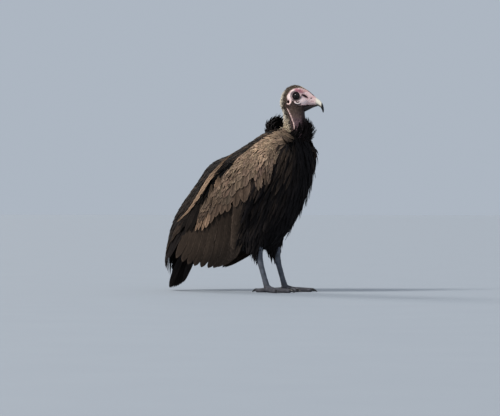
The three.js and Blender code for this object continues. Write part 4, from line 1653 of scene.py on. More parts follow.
    def relief(self, q: Array) -> Array:
        """How far the sides of the face are pressed in (above 0) or raised, in millimetres."""
        lore = self.stroke(q, LORE)
        press = 1.7 * ramp(1, -0.8, lore)
        for radius, height, width, middle, spread in POUCH_ARCS:
            away, share = self.arc(q, self.pouch_at, radius, middle, spread)
            press = press + height * share * np.exp(-((away / width) ** 2))
        x, z = q[..., 0], q[..., 2]
        ear = np.hypot((x - self.ear_at[0]) / 1.9, (z - self.ear_at[1]) / 3.6)
        press = press + 3.6 * ramp(1.25, 0.6, ear)
        away, share = self.arc(q, (self.ear_at[0] + 0.4, self.ear_at[1]), 5.0, -50, 95)
        press = press - 1.5 * share * np.exp(-((away / 1.5) ** 2))
        press = press + 1.5 * ramp(1.3, 0.5, self.nostril(x, z, 2.3, 1.1))
        behind, share = self.arc(q, (self.eye_at[0], 0.0), 13.6, 180, 62)
        press = press - 0.9 * share * np.exp(-((behind / 1.2) ** 2))
        behind, share = self.arc(q, (self.eye_at[0], 0.0), 11.4, 180, 62)
        press = press + 0.7 * share * np.exp(-((behind / 0.8) ** 2))
        lip = self.stroke(q, ((47, -20.9, 0.5), (34, -20.4, 0.8), (24, -20.2, 1.0), (17, -21.2, 1.0)))
        press = press - 0.9 * ramp(1.4, -0.6, lip)
        crease = self.stroke(q, ((47, -22.6, 0.3), (26, -22.6, 0.5), (15, -23.8, 0.9), (6, -26.5, 0.4)))
        return press + 1.1 * ramp(0.9, -0.5, crease)

    @staticmethod
    def wrinkles(x: Array, z: Array, warp: Array) -> Array:
        """The folds of the throat, lengthways below the jaw and ringed at the base, and of the brow."""
        jaw = ramp(-22, -32, z) * ramp(-66, -52, z)
        base = ramp(-48, -60, z)
        brow = ramp(7, 13, z) * ramp(26, 18, x) * ramp(2, 12, x)
        length_ways = np.abs(np.sin((x + 0.42 * z + 2.0 * warp) * (np.pi / 6.4)))
        rings = np.abs(np.sin((z + 0.3 * x + 2.4 * warp) * (np.pi / 5.6)))
        across = np.sin((x + 0.3 * z + 0.8 * warp) * (2 * np.pi / 3.3))
        return 0.5 * jaw * (0.6 - length_ways) + 0.7 * base * (0.6 - rings) + 0.2 * brow * across

    def mesh(self) -> tuple[Array, Array]:
        """The head and neck as vertices in frame metres and quads."""
        points, quads = net(self.form, (-42, -33, -102), (50, 33, 31), self.step)
        points = relax(points, quads, self.form, 2)
        return self.to_frame(points), quads

    def paint(self, p: Array) -> Array:
        """The colours of the skin.

        Args:
            p: Points in the head's millimetres.

        Returns:
            A colour in linear light for each point.
        """
        q = np.stack([p[:, 0], np.abs(p[:, 1]), p[:, 2]], axis=-1)
        x, y, z = q.T
        reach = np.hypot(x - self.eye_at[0], z)
        broad, fine, pores = self.broad(p), self.fine(p), self.pores(p)
        side = ramp(4, 9, y)
        colour = np.tile(linear(214, 186, 184), (len(p), 1))

        def lay(tint: Array, share: Array) -> None:
            """Lays one colour over the others, by a share for each point."""
            nonlocal colour
            colour = mix(colour, tint, np.clip(share, 0, 1))

        lay(linear(190, 146, 148), 0.45 * ramp(-0.3, 1.2, broad + 0.3 * fine))
        lay(linear(232, 212, 210), 0.7 * ramp(1.5, 0.5, np.hypot((x - 20) / 9.0, (z + 11) / 7.0)))
        lay(linear(234, 212, 206), 0.9 * ramp(1.35, 0.75, np.hypot((x + 11) / 5.0, (z + 1) / 6.0)))
        away, share = self.arc(q, (self.eye_at[0], 0.0), 13.2, 160, 75)
        lay(linear(236, 214, 208), 0.85 * share * ramp(2.6, 1, away))
        away, share = self.arc(q, (self.eye_at[0], 0.0), 11.2, 165, 75)
        lay(linear(96, 66, 66), 0.8 * share * ramp(1.3, 0.3, away))
        brow = np.hypot(np.maximum(np.abs(x - 11) - 6.5, 0) / 3.4, (z - 12.2 + 0.26 * (x - 8)) / 4.0)
        lay(linear(152, 92, 104), 0.9 * ramp(1.6, 0.5, brow + 0.22 * fine))
        lay(linear(196, 150, 142), 0.6 * ramp(1.3, 0.5, np.hypot((x - 22) / 7.0, (z - 11.5) / 3.0)))
        # the brown throat reaches up between the ear and the eye and under the cheek
        bounds = ((-30, -19), (-14, -21), (-9, -19), (-5, -10), (-1, -11), (3, -17.6), (9, -20.6), (15, -20.2))
        edge = np.interp(x, *np.array((*bounds, (20, -21.6), (48, -22))).T)
        throat = ramp(1.2, -2.2, z - edge + 0.7 * fine + 0.5 * broad)
        stops = (-78, -62, -48, -34, -22)
        shades = linear(*np.array([(88, 66, 72), (92, 70, 76), (80, 64, 60), (66, 53, 45), (50, 38, 33)]).T).T
        dark = np.stack([np.interp(z + 2.5 * broad, stops, shades[:, i]) for i in range(3)], axis=-1)
        # the throat's creases are painted darker and its folds' crests paler, as painted shade and light
        ridge = -self.wrinkles(x, z, broad)
        dark = dark * (1 + 0.07 * fine + 0.12 * broad + 0.7 * np.clip(ridge, -0.4, 0.4))[:, None]
        lay(dark, throat)
        lay(linear(120, 98, 96), 0.25 * throat * ramp(0.4, 1.6, pores + 0.6 * fine))
        # painted shadow below the eye, between the eye and the pouch
        under_eye_shadow = ramp(4.4, 1.6, reach - 9.4) * ramp(-3, -8, z - 0.35 * x)
        lay(linear(32, 23, 23), 0.9 * under_eye_shadow * side)
        top = np.interp(x, self.profile[:, 0], self.profile[:, 1])
        culmen = ramp(5.2, 3.2, y) * ramp(4.6, 2.2, top - z) * ramp(24, 28, x)
        lay(linear(40, 31, 32), 0.95 * culmen * ramp(45, 41, x))
        lay(linear(150, 108, 108), 0.5 * ramp(3.4, 1, self.stroke(q, LORE)) * side)
        lay(linear(30, 13, 17), 0.98 * ramp(1.6, 0.2, self.stroke(q, LORE)) * side)
        # the pouch's grooves are painted dark as shadow and its ridge pale
        for radius, height, width, middle, spread in POUCH_ARCS:
            away, share = self.arc(q, self.pouch_at, radius, middle, spread)
            tint = linear(214, 202, 198) if height < 0 else linear(28, 20, 20)
            lay(tint, 1.3 * share * ramp(width * 1.25, width * 0.55, away) * side)
        # dark at the gape under the bill, its own dark partly deepened as painted shade
        gape = ramp(-20, -21.8, z) * ramp(14, 20, x)
        lay(linear(44, 29, 28), 0.92 * gape)
        lay(linear(70, 34, 36), 0.95 * ramp(1.35, 0.8, self.nostril(x, z, 2.4, 1.2)) * side)
        ear_x, ear_z = self.ear_at
        ear = np.hypot((x - ear_x) / 2.9, (z - ear_z) / 4.6)
        behind = ramp(1, -2.5, x - ear_x + 0.25 * (z - ear_z))
        lay(linear(48, 33, 28), 0.96 * ramp(4.4, 2.4, ear) * behind * side)
        away, share = self.arc(q, (ear_x + 0.4, ear_z), 5.0, -50, 95)
        lay(linear(238, 206, 196), 1.3 * share * ramp(2, 1, away) * side)
        lay(linear(40, 15, 11), ramp(1, 0.7, ear) * side)
        lay(linear(230, 196, 188), 0.95 * ramp(2.2, 1.1, self.fold(p)))
        # painted shadow in the furrow between the pale fold and the hood
        lay(linear(38, 27, 25), 0.92 * ramp(2.8, 1.2, self.fold(p, -3.8)))
        lay(linear(20, 17, 20), 0.98 * ramp(10, 9.1, reach) * ramp(13, 16, y))
        covered = ramp(1, -2, self.hood(p))
        # the painted shadow in the furrow stays over the hood's colour
        furrow = 0.9 * ramp(2.6, 1.2, self.fold(p, -3.8))
        return mix(colour, linear(96, 80, 66), covered * (1 - furrow))


# ---- Legs ----


@dataclass
class Leg:
    """One shank and foot, with its scutes and toe pads."""

    side: Side
    out: float = 39.0
    foot_x: float = 12.0
    foot_turn: float = math.radians(8)
    toes: tuple[tuple[str, float, float, float], ...] = (
        ("middle", 0.0, 62.0, 6.4),
        ("inner", -34.0, 47.0, 6.0),
        ("outer", 30.0, 51.0, 5.8),
        ("hind", 184.0, 31.0, 5.8),
    )
    claw_length: float = 17.0
    claw_radius: float = 3.3
    scute: float = 4.6  # the height of a plate of the shank
    plate: float = 3.6  # the length of a plate of a toe
    step: float = 1.0

    def __post_init__(self) -> None:
        """Prepares the fine grain of the scales."""
        self.grain = Ripples(31, 2.6)

    def toe(self, angle: float, length: float, thick: float) -> tuple[Array, list[Array]]:
        """A toe's direction and its joints, on the bird's right."""
        bearing = self.foot_turn + math.radians(angle)
        ahead = np.array([math.cos(bearing), -math.sin(bearing), 0.0])
        start = np.array([self.foot_x, -self.out, 0.0])
        joints = [np.array([*start[:2], thick + 3.4, thick * 0.98])]
        for pad in (1, 2, 3):
            share = pad / 3
            girth = thick * (1.02 - 0.22 * share)
            at = start + ahead * length * share
            joints.append(np.array([at[0], at[1], girth - 0.6, girth * 0.97]))
        return ahead, joints

    def form(self, p: Array) -> Array:
        """The distance field of the shank and foot, on the bird's right."""
        shank = (
            (-8, -self.out, 100, 6.2), (-11, -self.out, 80, 8.4), (-5, -self.out, 60, 6.2),
            (4, -self.out, 32, 5.9), (10, -self.out, 14, 6.9), (13, -self.out, 8, 7.4),
        )  # fmt: skip
        leg = rod(p, shank)
        front = ramp(-1, 3, p[..., 0] + 11 - (80 - p[..., 2]) * 0.3)
        scutes = np.abs(np.sin(p[..., 2] * (np.pi / self.scute)))
        leg = leg - front * 0.35 * (scutes - 0.5) * ramp(12, 22, p[..., 2])
        for _, angle, length, thick in self.toes:
            ahead, joints = self.toe(angle, length, thick)
            toe = rod(p, joints)
            along = (p - joints[0][:3].astype(p.dtype)) @ ahead.astype(p.dtype)
            upper = ramp(1, 4.5, p[..., 2])
            plates = np.abs(np.sin(along * (np.pi / self.plate)))
            toe = toe - upper * 0.38 * (plates - 0.6)
            for joint in joints[1:]:
                pad = np.array([joint[0], joint[1], joint[3] * 0.75])
                toe = smooth_union(toe, ball(p, pad, (joint[3] * 1.12, joint[3] * 1.08, joint[3] * 0.8)), 1.6)
            leg = smooth_union(leg, toe, 3.0)
        leg = leg + 0.12 * self.grain(p)
        return np.maximum(leg, 0.12 - p[..., 2])

    def mirrored(self, points: Array) -> Array:
        """Points of the right leg put on this leg's side."""
        return points * np.array([1.0, -self.side.value, 1.0])

    def mesh(self) -> tuple[Array, Array]:
        """The leg as vertices in frame metres and quads."""
        points, quads = net(self.form, (-40, -92, -2), (84, 0, 104), self.step)
        points = relax(points, quads, self.form, 1)
        if self.side is Side.LEFT:
            quads = quads[:, ::-1]
        return from_design(self.mirrored(points)), quads

    def claws(self) -> Object:
        """The four claws as curved, tapering horn."""
        stacks = []
        turn = np.linspace(0, 2 * np.pi, 14, endpoint=False)
        keel = 1 - 0.22 * np.clip(-np.sin(turn), 0, 1) ** 2
        upright = np.array([0.0, 0.0, 1.0])
        for _, angle, length, thick in self.toes:
            ahead, joints = self.toe(angle, length, thick)
            root, size, reach = joints[-1], self.claw_radius, self.claw_length
            table = (
                # along the toe, height, half width and half depth
                (-4.0, root[2] + 0.8, size * 0.8, size * 0.8),
                (-1.0, root[2] + 1.2, size, size * 1.05),
                (reach * 0.4, root[2] + 1.4, size * 0.82, size * 0.95),
                (reach * 0.8, root[2] - 1.0, size * 0.5, size * 0.6),
                (reach * 1.05, 0.85, 0.3, 0.45),
            )
            dense = catmull(table, 18)
            slope = np.gradient(dense[:, :2], axis=0)
            rise = np.arctan2(slope[:, 1], slope[:, 0])[:, None]
            centre = root[:3] * np.array([1, 1, 0]) + ahead * dense[:, :1] + upright * dense[:, 1:2]
            up = np.cos(rise) * upright - np.sin(rise) * ahead
            wide = (np.cos(turn) * keel * dense[:, 2:3])[..., None]
            ring = centre[:, None] + np.cross(upright, ahead) * wide
            ring = ring + up[:, None] * (np.sin(turn) * dense[:, 3:4])[..., None]
            ring[..., 2] = np.maximum(ring[..., 2], 0.12)
            stacks.append(from_design(self.mirrored(ring)))
        return tubes(f"claws_{self.side.label}", stacks)


@dataclass(frozen=True)
class SkinFinish:
    """Bare skin, wrinkled on the face and scaly on the legs."""

    name: str = "bare_skin"
    roughness: float = 0.56
    subsurface: float = 0.06

    def material(self) -> Material:
        """The skin's colours with pores, veins and scales."""
        n = Finish(self.name)
        scaly = n.attribute("scaly")
        veins = n.noise(n.place, 900.0, 4.0, 0.6)
        blotch = n.noise(n.place, 240.0)
        cells = {"Vector": n.place, "Scale": 620.0}
        seam = n.remap(n.value("ShaderNodeTexVoronoi", cells, "Distance", feature="DISTANCE_TO_EDGE"), 0.0, 0.16)
        level = veins * 0.3 + (blotch * 0.24 + 0.73)
        even = (n.remap(seam, 0.0, 1.0, (0.55, 1.05)) - 1.0) * scaly + 1.0
        pores = n.noise(n.place, 1900.0, 3.0, 0.6)
        height = veins * 0.6 + pores * 0.4 + seam * scaly * 1.6
        return n.shade(
            {
                "Base Color": n.scaled(n.attribute("tone", "Color"), level * even),
                "Roughness": blotch * 0.16 + (self.roughness - 0.06),
                "Subsurface Weight": self.subsurface,
                "Subsurface Radius": (0.9 * MM, 0.45 * MM, 0.3 * MM),
                "Subsurface Scale": 1.0,
                "Specular IOR Level": 0.16,
            },
            height,
            0.09 * MM,
        )


@dataclass(frozen=True)
class HornFinish:
    """Bill and claw horn, streaked along its growth and worn to a shine."""

    name: str
    roughness: float = 0.34
    streaks: float = 0.16

    def material(self) -> Material:
        """Layered horn with fine scratches."""
        n = Finish(self.name)
        stretched = n.value("ShaderNodeMapping", {"Vector": n.place, "Scale": (260.0, 260.0, 900.0)})
        layers = n.noise(stretched, 1.0, 4.0, 0.6)
        wear = n.noise(n.place, 420.0)
        level = layers * (self.streaks * 2) + (1.0 - self.streaks)
        inputs = {
            "Base Color": n.scaled(n.attribute("tone", "Color"), level),
            "Roughness": wear * 0.22 + (self.roughness - 0.1),
            "Specular IOR Level": 0.25,
            "Coat Weight": 0.1,
            "Coat Roughness": 0.25,
        }
        return n.shade(inputs, layers * 0.7 + wear * 0.3, 0.05 * MM)


@dataclass(frozen=True)
class EyeFinish:
    """A dark brown eye under a wet, clear front."""

    pupil: float = 3.6
    iris: float = 6.4

    def material(self) -> Material:
        """Pupil, streaked iris with a pale ring painted as a reflection, and dark rim, by the distance from the
        eye's axis.
        """
        n = Finish("eye_wet")
        rays = n.noise(n.attribute("spoke", "Vector"), 5.0, 4.0, 0.7)
        edge = n.attribute("polar") + (rays - 0.5) * 0.5
        pupil = n.remap(edge, self.pupil - 0.25, self.pupil + 0.25)
        iris = n.blend(rays, linear(14, 11, 11), linear(36, 27, 24))
        colour = n.blend(pupil, (0.001, 0.001, 0.001), iris)
        # a pale ring in the iris is a painted reflection
        ring = n.remap(abs(edge - (self.iris - 0.75)), 0.45, 0.15)
        colour = n.blend(ring * 0.7, colour, linear(62, 62, 68))
        colour = n.blend(n.remap(edge, self.iris - 1.2, self.iris), colour, linear(16, 13, 14))
        gloss = {"Roughness": 0.3, "Specular IOR Level": 0.1, "Coat Weight": 0.35, "Coat Roughness": 0.03}
        return n.shade({"Base Color": colour, **gloss})


@dataclass
class Skin:
    """One closed skin over trunk, thighs, neck, head, shanks and feet."""

    head: Head
    legs: Sequence[Leg]
    inset: float = 4.6 * MM
    voxel: float = 4 * MM
    neck_start: float = 352.0  # the height above which the head's colours hold, in design millimetres

    def build(self) -> Object:
        """Joins the parts of flesh and colours them."""
        skin = form_mesh(["trunk", *both("thigh")], self.voxel, 10, self.inset)
        skin.name = skin.data.name = "skin"
        parts = [quad_object("head_flesh", *self.head.mesh())]
        parts += [quad_object("leg_flesh", *leg.mesh()) for leg in self.legs]
        for part in parts:
            join = skin.modifiers.new("join", "BOOLEAN")
            join.operation = "UNION"
            join.solver = "MANIFOLD"
            join.object = part
        bake_in(skin)
        for part in parts:
            discard(part)
        keep_largest(skin.data)
        skin.data.shade_smooth()
        self.colour(skin.data)
        return skin

    def colour(self, mesh: Mesh) -> None:
        """Stores the skin's colours and where it is scaly."""
        points = vertices_of(mesh)
        design = to_design(points)
        inside = self.head.to_head(points)
        tones = np.tile(linear(34, 29, 29), (len(points), 1))
        up = design[:, 2] > self.neck_start - 12
        painted = self.head.paint(inside[up])
        share = ramp(self.neck_start - 12, self.neck_start, design[up, 2])
        tones[up] = mix(tones[up], painted, share)
        scaly = np.zeros(len(points))
        leg = self.legs[0]
        right = np.stack([design[:, 0], -np.abs(design[:, 1]), design[:, 2]], axis=-1)
        low = design[:, 2] < 106
        on_leg = np.zeros(len(points), dtype=bool)
        on_leg[low] = np.abs(leg.form(right[low])) < 0.9
        z = design[on_leg, 2]
        shank = mix(linear(70, 70, 76), linear(82, 86, 95), ramp(8, 26, z))
        shade = 1 + 0.12 * Ripples(33, 14.0)(design[on_leg])
        tones[on_leg] = shank * shade[:, None]
        scaly[on_leg] = 1
        set_colour(mesh, "tone", np.clip(tones, 0, 1))
        set_value(mesh, "scaly", scaly)


# ---- Bill and eyes ----


UPPER_BILL = (
    # back X, back Z, front X, front Z and half width in the head's millimetres
    (45.6, -2.4, 45.6, -20.6, 7.0),
    (46.6, -2.6, 46.6, -20.9, 7.35),
    (52.5, -7.4, 52, -22.6, 6.3),
    (58.4, -12.4, 57, -25.6, 5.2),
    (62.7, -18.8, 58.9, -28, 4.1),
    (65, -27.5, 60.6, -31.4, 2.9),
    (65.2, -34, 61.9, -35.2, 1.6),
    (64.4, -37.6, 63.2, -37.9, 0.35),
)
LOWER_BILL = (
    (19, -20.6, 19, -36, 10.0),
    (29, -20.2, 29.2, -31.6, 8.2),
    (38.5, -20.0, 38.8, -26.8, 6.3),
    (44.5, -20.2, 44.8, -24.6, 5.0),
    (49.4, -21.6, 49.4, -23.4, 2.6),
    (50.8, -22.1, 50.7, -22.8, 0.8),
)


@dataclass
class Bill:
    """The horn of the upper and lower bill."""

    head: Head
    rings: int = 44
    sides: int = 32
    squareness: float = 0.85

    def half(self, name: str, table: Table, groove: bool) -> Object:
        """One half of the bill as a closed, smooth loft.

        Args:
            name: The piece's name.
            table: Its sections in the head's millimetres.
            groove: Whether it has the upper half's furrows and black hook.

        Returns:
            The new object, with its colours.
        """
        dense = catmull(table, self.rings)
        turn = np.linspace(0, 2 * np.pi, self.sides, endpoint=False)
        sine = np.sign(np.sin(turn)) * np.abs(np.sin(turn)) ** self.squareness
        cosine = np.sign(np.cos(turn)) * np.abs(np.cos(turn)) ** self.squareness
        middle = (dense[:, :2] + dense[:, 2:4]) / 2
        reach = (dense[:, :2] - dense[:, 2:4]) / 2
        flat = middle[:, None] + reach[:, None] * sine[None, :, None]
        lean = 1 - 0.12 * np.clip(-sine, 0, 1) if groove else np.ones(self.sides)
        wide = dense[:, 4:5] * (cosine * lean)[None]
        points = np.stack([flat[..., 0], wide, flat[..., 1]], axis=-1)
        if groove:
            # a shallow furrow runs along each side above the cutting edge
            mark = np.exp(-(((turn - 1.2 * np.pi) / 0.16) ** 2)) + np.exp(-(((turn - 1.8 * np.pi) / 0.16) ** 2))
            fade = np.sin(np.linspace(0, np.pi, self.rings)) ** 0.5
            points[..., 1] *= 1 - 0.055 * mark[None] * fade[:, None]
        thing = tubes(name, [self.head.to_frame(points)])
        x, _, z = points.reshape(-1, 3).T
        cream = mix(linear(206, 176, 170), linear(232, 224, 206), ramp(45, 50, x))
        cream = mix(cream, linear(196, 178, 156), 0.6 * ramp(-19, -25, z))
        black = ramp(58.6, 60.8, x - 0.10 * (z + 22))
        low = np.broadcast_to(sine, points.shape[:2]).ravel()
        edge = ramp(-0.2, -0.62, low) * ramp(45.5, 50, x)
        # the lower bill is very dark: its own dark horn, partly deepened as painted shade under the upper bill
        dark = np.tile(linear(31, 22, 21), (len(x), 1))
        colour = mix(cream, linear(44, 42, 50), 0.85 * edge) if groove else dark
        colour = mix(colour, linear(17, 19, 24), black if groove else 0 * x)
        set_colour(thing.data, "tone", colour)
        return thing

    def build(self) -> tuple[Object, Object]:
        """Both halves."""
        return self.half("bill_upper_horn", UPPER_BILL, True), self.half("bill_lower_horn", LOWER_BILL, False)


@dataclass
class Eye:
    """One eyeball with its bulging clear front."""

    head: Head
    side: Side
    bulge: float = 0.75
    forward: float = math.radians(10)
    rings: int = 36
    sides: int = 48

    def build(self) -> Object:
        """A ball turned about the line of sight."""
        polar = np.linspace(0.01, np.pi - 0.01, self.rings)
        radius = self.head.eye_radius + self.bulge * (np.exp(-((polar / 0.52) ** 2)) - 0.06)
        turn = np.linspace(0, 2 * np.pi, self.sides, endpoint=False)
        out = np.array([math.sin(self.forward), self.side.value * math.cos(self.forward), 0.0])
        up = np.array([0.0, 0.0, 1.0])
        circle = np.cross(out, up) * np.cos(turn)[:, None] + up * np.sin(turn)[:, None]
        ring = (radius * np.sin(polar))[:, None, None] * circle + (radius * np.cos(polar))[:, None, None] * out
        centre = np.array(self.head.eye_at) * np.array([1, self.side.value, 1])
        thing = tubes(f"eyeball_{self.side.label}", [self.head.to_frame(ring + centre)])
        away = np.where(polar < np.pi / 2, self.head.eye_radius * np.sin(polar), 20.0)
        set_value(thing.data, "polar", np.repeat(away, self.sides))
        set_vector(thing.data, "spoke", np.tile(circle, (self.rings, 1)))
        return thing


# ---- Down of the hood ----


class Growth(Tree):
    """A Geometry Nodes tree that grows tufts from a surface and leaves only the tufts."""

    def __init__(self, name: str) -> None:
        """Names the tree's inputs and builds it."""
        super().__init__(bpy.data.node_groups.new(name, "GeometryNodeTree"))
        face = self.tree.interface
        face.new_socket("Surface", in_out="INPUT", socket_type="NodeSocketGeometry")
        kinds = {"Seed": "Int", "Tuft": "Object", "Finish": "Material"}
        self.sockets = {
            label: face.new_socket(
                label, in_out="INPUT", socket_type=f"NodeSocket{kinds.get(label, 'Float')}"
            ).identifier
            for label in ("Spacing", "Length", "Spread", "Sway", "Patch", "Seed", "Tuft", "Finish")
        }
        face.new_socket("Tufts", in_out="OUTPUT", socket_type="NodeSocketGeometry")
        self.build()

    def named(self, name: str, kind: str = "FLOAT") -> Value:
        """A value stored on the surface."""
        return self.value("GeometryNodeInputNamedAttribute", {"Name": name}, "Attribute", data_type=kind)

    def chance(self, low: Value, high: Value, seed: Value, first: int, kind: str) -> Value:
        """A random number or vector between two others, whose sockets begin with the first."""
        inputs = {first: low, first + 1: high, "Seed": seed}
        return self.value("FunctionNodeRandomValue", inputs, first // 2, data_type=kind)

    def build(self) -> None:
        """Scatters, turns and sizes the tufts, and gives each its patch of the map."""
        sockets = self.node("NodeGroupInput").outputs
        given = {socket.name: Value(self, socket) for socket in sockets if socket.name}
        spacing, seed, sway = given["Spacing"], given["Seed"], given["Sway"]
        scattered = {
            "Mesh": given["Surface"],
            "Distance Min": spacing,
            "Density Max": self.math("DIVIDE", 1.6, self.math("POWER", spacing, 2.0)),
            "Density Factor": self.named("down"),
            "Seed": seed,
        }
        spread = self.node("GeometryNodeDistributePointsOnFaces", scattered, distribute_method="POISSON")
        points, normal = (Value(self, spread.outputs[label]) for label in ("Points", "Normal"))
        upright = self.value("FunctionNodeAlignRotationToVector", {"Vector": normal}, axis="Z")
        lie = {"Rotation": upright, "Vector": self.named("lie", "FLOAT_VECTOR")}
        lying = self.value("FunctionNodeAlignRotationToVector", lie, axis="X", pivot_axis="Z")
        least, greatest = (self.join(reach, reach, reach) for reach in (sway * -1.0, sway))
        swayed = self.value(
            "FunctionNodeEulerToRotation", {0: self.chance(least, greatest, seed, 0, "FLOAT_VECTOR")}
        )
        turned = self.value(
            "FunctionNodeRotateRotation", {"Rotation": lying, "Rotate By": swayed}, rotation_space="LOCAL"
        )
        size = self.chance(1.0 - given["Spread"], given["Spread"] + 1.0, seed, 2, "FLOAT")
        tuft = self.value("GeometryNodeObjectInfo", {"Object": given["Tuft"], "As Instance": True}, "Geometry")
        size = size * given["Length"] * self.named("down_length")
        planting = {"Points": points, "Instance": tuft, "Rotation": turned, "Scale": size}
        planted = self.value("GeometryNodeInstanceOnPoints", planting)
        real = self.value("GeometryNodeRealizeInstances", {0: planted})
        patch = self.scaled(self.named("leaf", "FLOAT_VECTOR"), given["Patch"])
        centre = self.named("unwrap", "FLOAT_VECTOR")
        place = self.value("ShaderNodeVectorMath", {0: centre, 1: patch}, operation="ADD")
        mapping = {"Geometry": real, "Name": BAKE_MAP, "Value": place}
        mapped = self.value("GeometryNodeStoreNamedAttribute", mapping, data_type="FLOAT2", domain="CORNER")
        dressed = self.value("GeometryNodeSetMaterial", {"Geometry": mapped, "Material": given["Finish"]})
        self.node("NodeGroupOutput", {0: dressed})

    def grow(self, surface: Object, name: str, settings: dict[str, object]) -> Object:
        """Grows the tufts over a surface as a plain mesh of their own."""
        modifier = surface.modifiers.new("growth", "NODES")
        modifier.node_group = self.tree
        for label, value in settings.items():
            modifier[self.sockets[label]] = value
        mesh = evaluated(surface)
        surface.modifiers.remove(modifier)
        mesh.name = name
        return shown(name, mesh)


@dataclass
class HoodDown:
    """The short woolly down of the crown, nape and back of the neck."""

    head: Head
    spacing: float = 0.68 * MM
    length: float = 4.8 * MM
    lowest: float = 0.362  # in metres; the ruff hides the neck below it
    seed: int = 7

    def tuft(self) -> Object:
        """One tuft: a thin, closed, curled blade one unit long."""
        stations = 4
        t = np.linspace(0, 1, stations)
        width = 0.125 * (1 - t**1.8) + 0.012
        spine = np.stack([t - 0.12 * t**2, 0.09 * np.sin(t * 4.2), 0.45 * t - 0.12 * t**2], axis=-1)
        turn = np.linspace(0, 2 * np.pi, 3, endpoint=False) + np.pi / 2
        ring = np.stack([np.zeros(3), np.cos(turn), 0.45 * np.sin(turn)], axis=-1)
        thing = tubes("tuft", [spine[:, None] + width[:, None, None] * ring[None]])
        leaf = np.stack([np.tile(np.arange(3) / 3, stations), np.repeat(t, 3), np.zeros(stations * 3)], axis=-1)
        set_vector(thing.data, "leaf", leaf)
        set_value(thing.data, "tip", np.repeat(t, 3))
        return thing

    def prepare(self, skin: Object) -> Object:
        """A copy of the head's skin that says where and how the down grows."""
        copy = shown("down_ground", skin.data.copy())
        with edited(copy.data) as work:
            bmesh.ops.delete(work, geom=[v for v in work.verts if v.co.z < self.lowest], context="VERTS")
        points = vertices_of(copy.data)
        p = self.head.to_head(points)
        hood, fine, broad = self.head.hood(p), self.head.fine(p), self.head.broad(p)
        x, y, z = p.T
        _, out, centre, radius = self.head.neck_frame(p)
        on_neck = ramp(7, 4, np.hypot(x - centre, out) - radius) + (z > -30)
        down = ramp(1, -1.6, hood + 0.8 * fine) * np.clip(on_neck, 0, 1)
        nape = ramp(-2, -20, z)
        length = 0.66 + 0.5 * nape + 0.35 * ramp(-36, -66, z)
        length *= 0.5 + 0.5 * ramp(0, -6, hood)
        back = np.stack([-np.ones(len(p)), 0.12 * np.sign(y), -0.1 - 0.9 * ramp(10, -30, x)], axis=-1)
        down_neck = np.stack([-0.25 * np.ones(len(p)), 0.1 * np.sign(y), -np.ones(len(p))], axis=-1)
        share = ramp(6, -16, z)[:, None]
        lie = unit((back * (1 - share) + down_neck * share) @ self.head.turn)
        bearing = np.arctan2(y, -x - 8.0) / (2 * np.pi) + 0.5
        place = np.stack([bearing * 0.97 + 0.01, (z + 105) / 140, np.zeros(len(p))], axis=-1)
        # dark on the crown, painted shade along its lower front edge beside the fold, cream on the back of the
        # head and the nape
        from_front = -hood + 1.2 * broad + 0.6 * fine
        cream = ramp(7, 12.5, from_front) * ramp(14, -2, z + 0.2 * x)
        cream = np.maximum(cream, ramp(-24, -32, z) * ramp(2, 4.5, from_front))
        tone = mix(linear(80, 67, 54), linear(212, 202, 186), cream)
        # painted shade along the hood's lower front edge
        tone = mix(tone, linear(58, 44, 36), 0.75 * ramp(5, 2.5, -hood) * ramp(8, 0, z))
        tone = mix(tone, linear(186, 168, 142), 0.9 * ramp(-38, -62, z) * cream)
        forelock = ramp(9, 14, x) * ramp(9, 13, z)
        tone = mix(tone, linear(196, 168, 134), 0.85 * np.clip(forelock + 0.3 * broad * forelock, 0, 1))
        tone = tone * (1 + 0.14 * broad + 0.12 * fine)[:, None]
        set_value(copy.data, "down", down)
        set_value(copy.data, "down_length", length)
        set_colour(copy.data, "down_tone", np.clip(tone, 0, 1))
        set_vector(copy.data, "lie", lie)
        set_vector(copy.data, "unwrap", place)
        return copy

    def build(self, skin: Object, material: Material) -> Object:
        """The down as one mesh of tufts."""
        ground, tuft = self.prepare(skin), self.tuft()
        settings = {
            "Spacing": self.spacing,
            "Length": self.length,
            "Spread": 0.4,
            "Sway": 0.6,
            "Patch": TUFT_PATCH,
            "Seed": self.seed,
            "Tuft": tuft,
            "Finish": material,
        }
        down = Growth("down_growth").grow(ground, "hood_down", settings)
        discard(ground)
        discard(tuft)
        return down


@dataclass(frozen=True)
class DownFinish:
    """Soft woolly down, darker at its roots."""

    name: str = "hood_wool"

    def material(self) -> Material:
        """The down's own tones with paler tips."""
        n = Finish(self.name)
        level = n.remap(n.attribute("tip"), 0.0, 0.8, (0.5, 1.25)) * (n.noise(n.place, 700.0) * 0.4 + 0.8)
        soft = {"Roughness": 0.9, "Specular IOR Level": 0.1, "Sheen Weight": 0.25, "Sheen Roughness": 0.5}
        return n.shade({"Base Color": n.scaled(n.attribute("down_tone", "Color"), level), **soft})


# ---- Studio ----


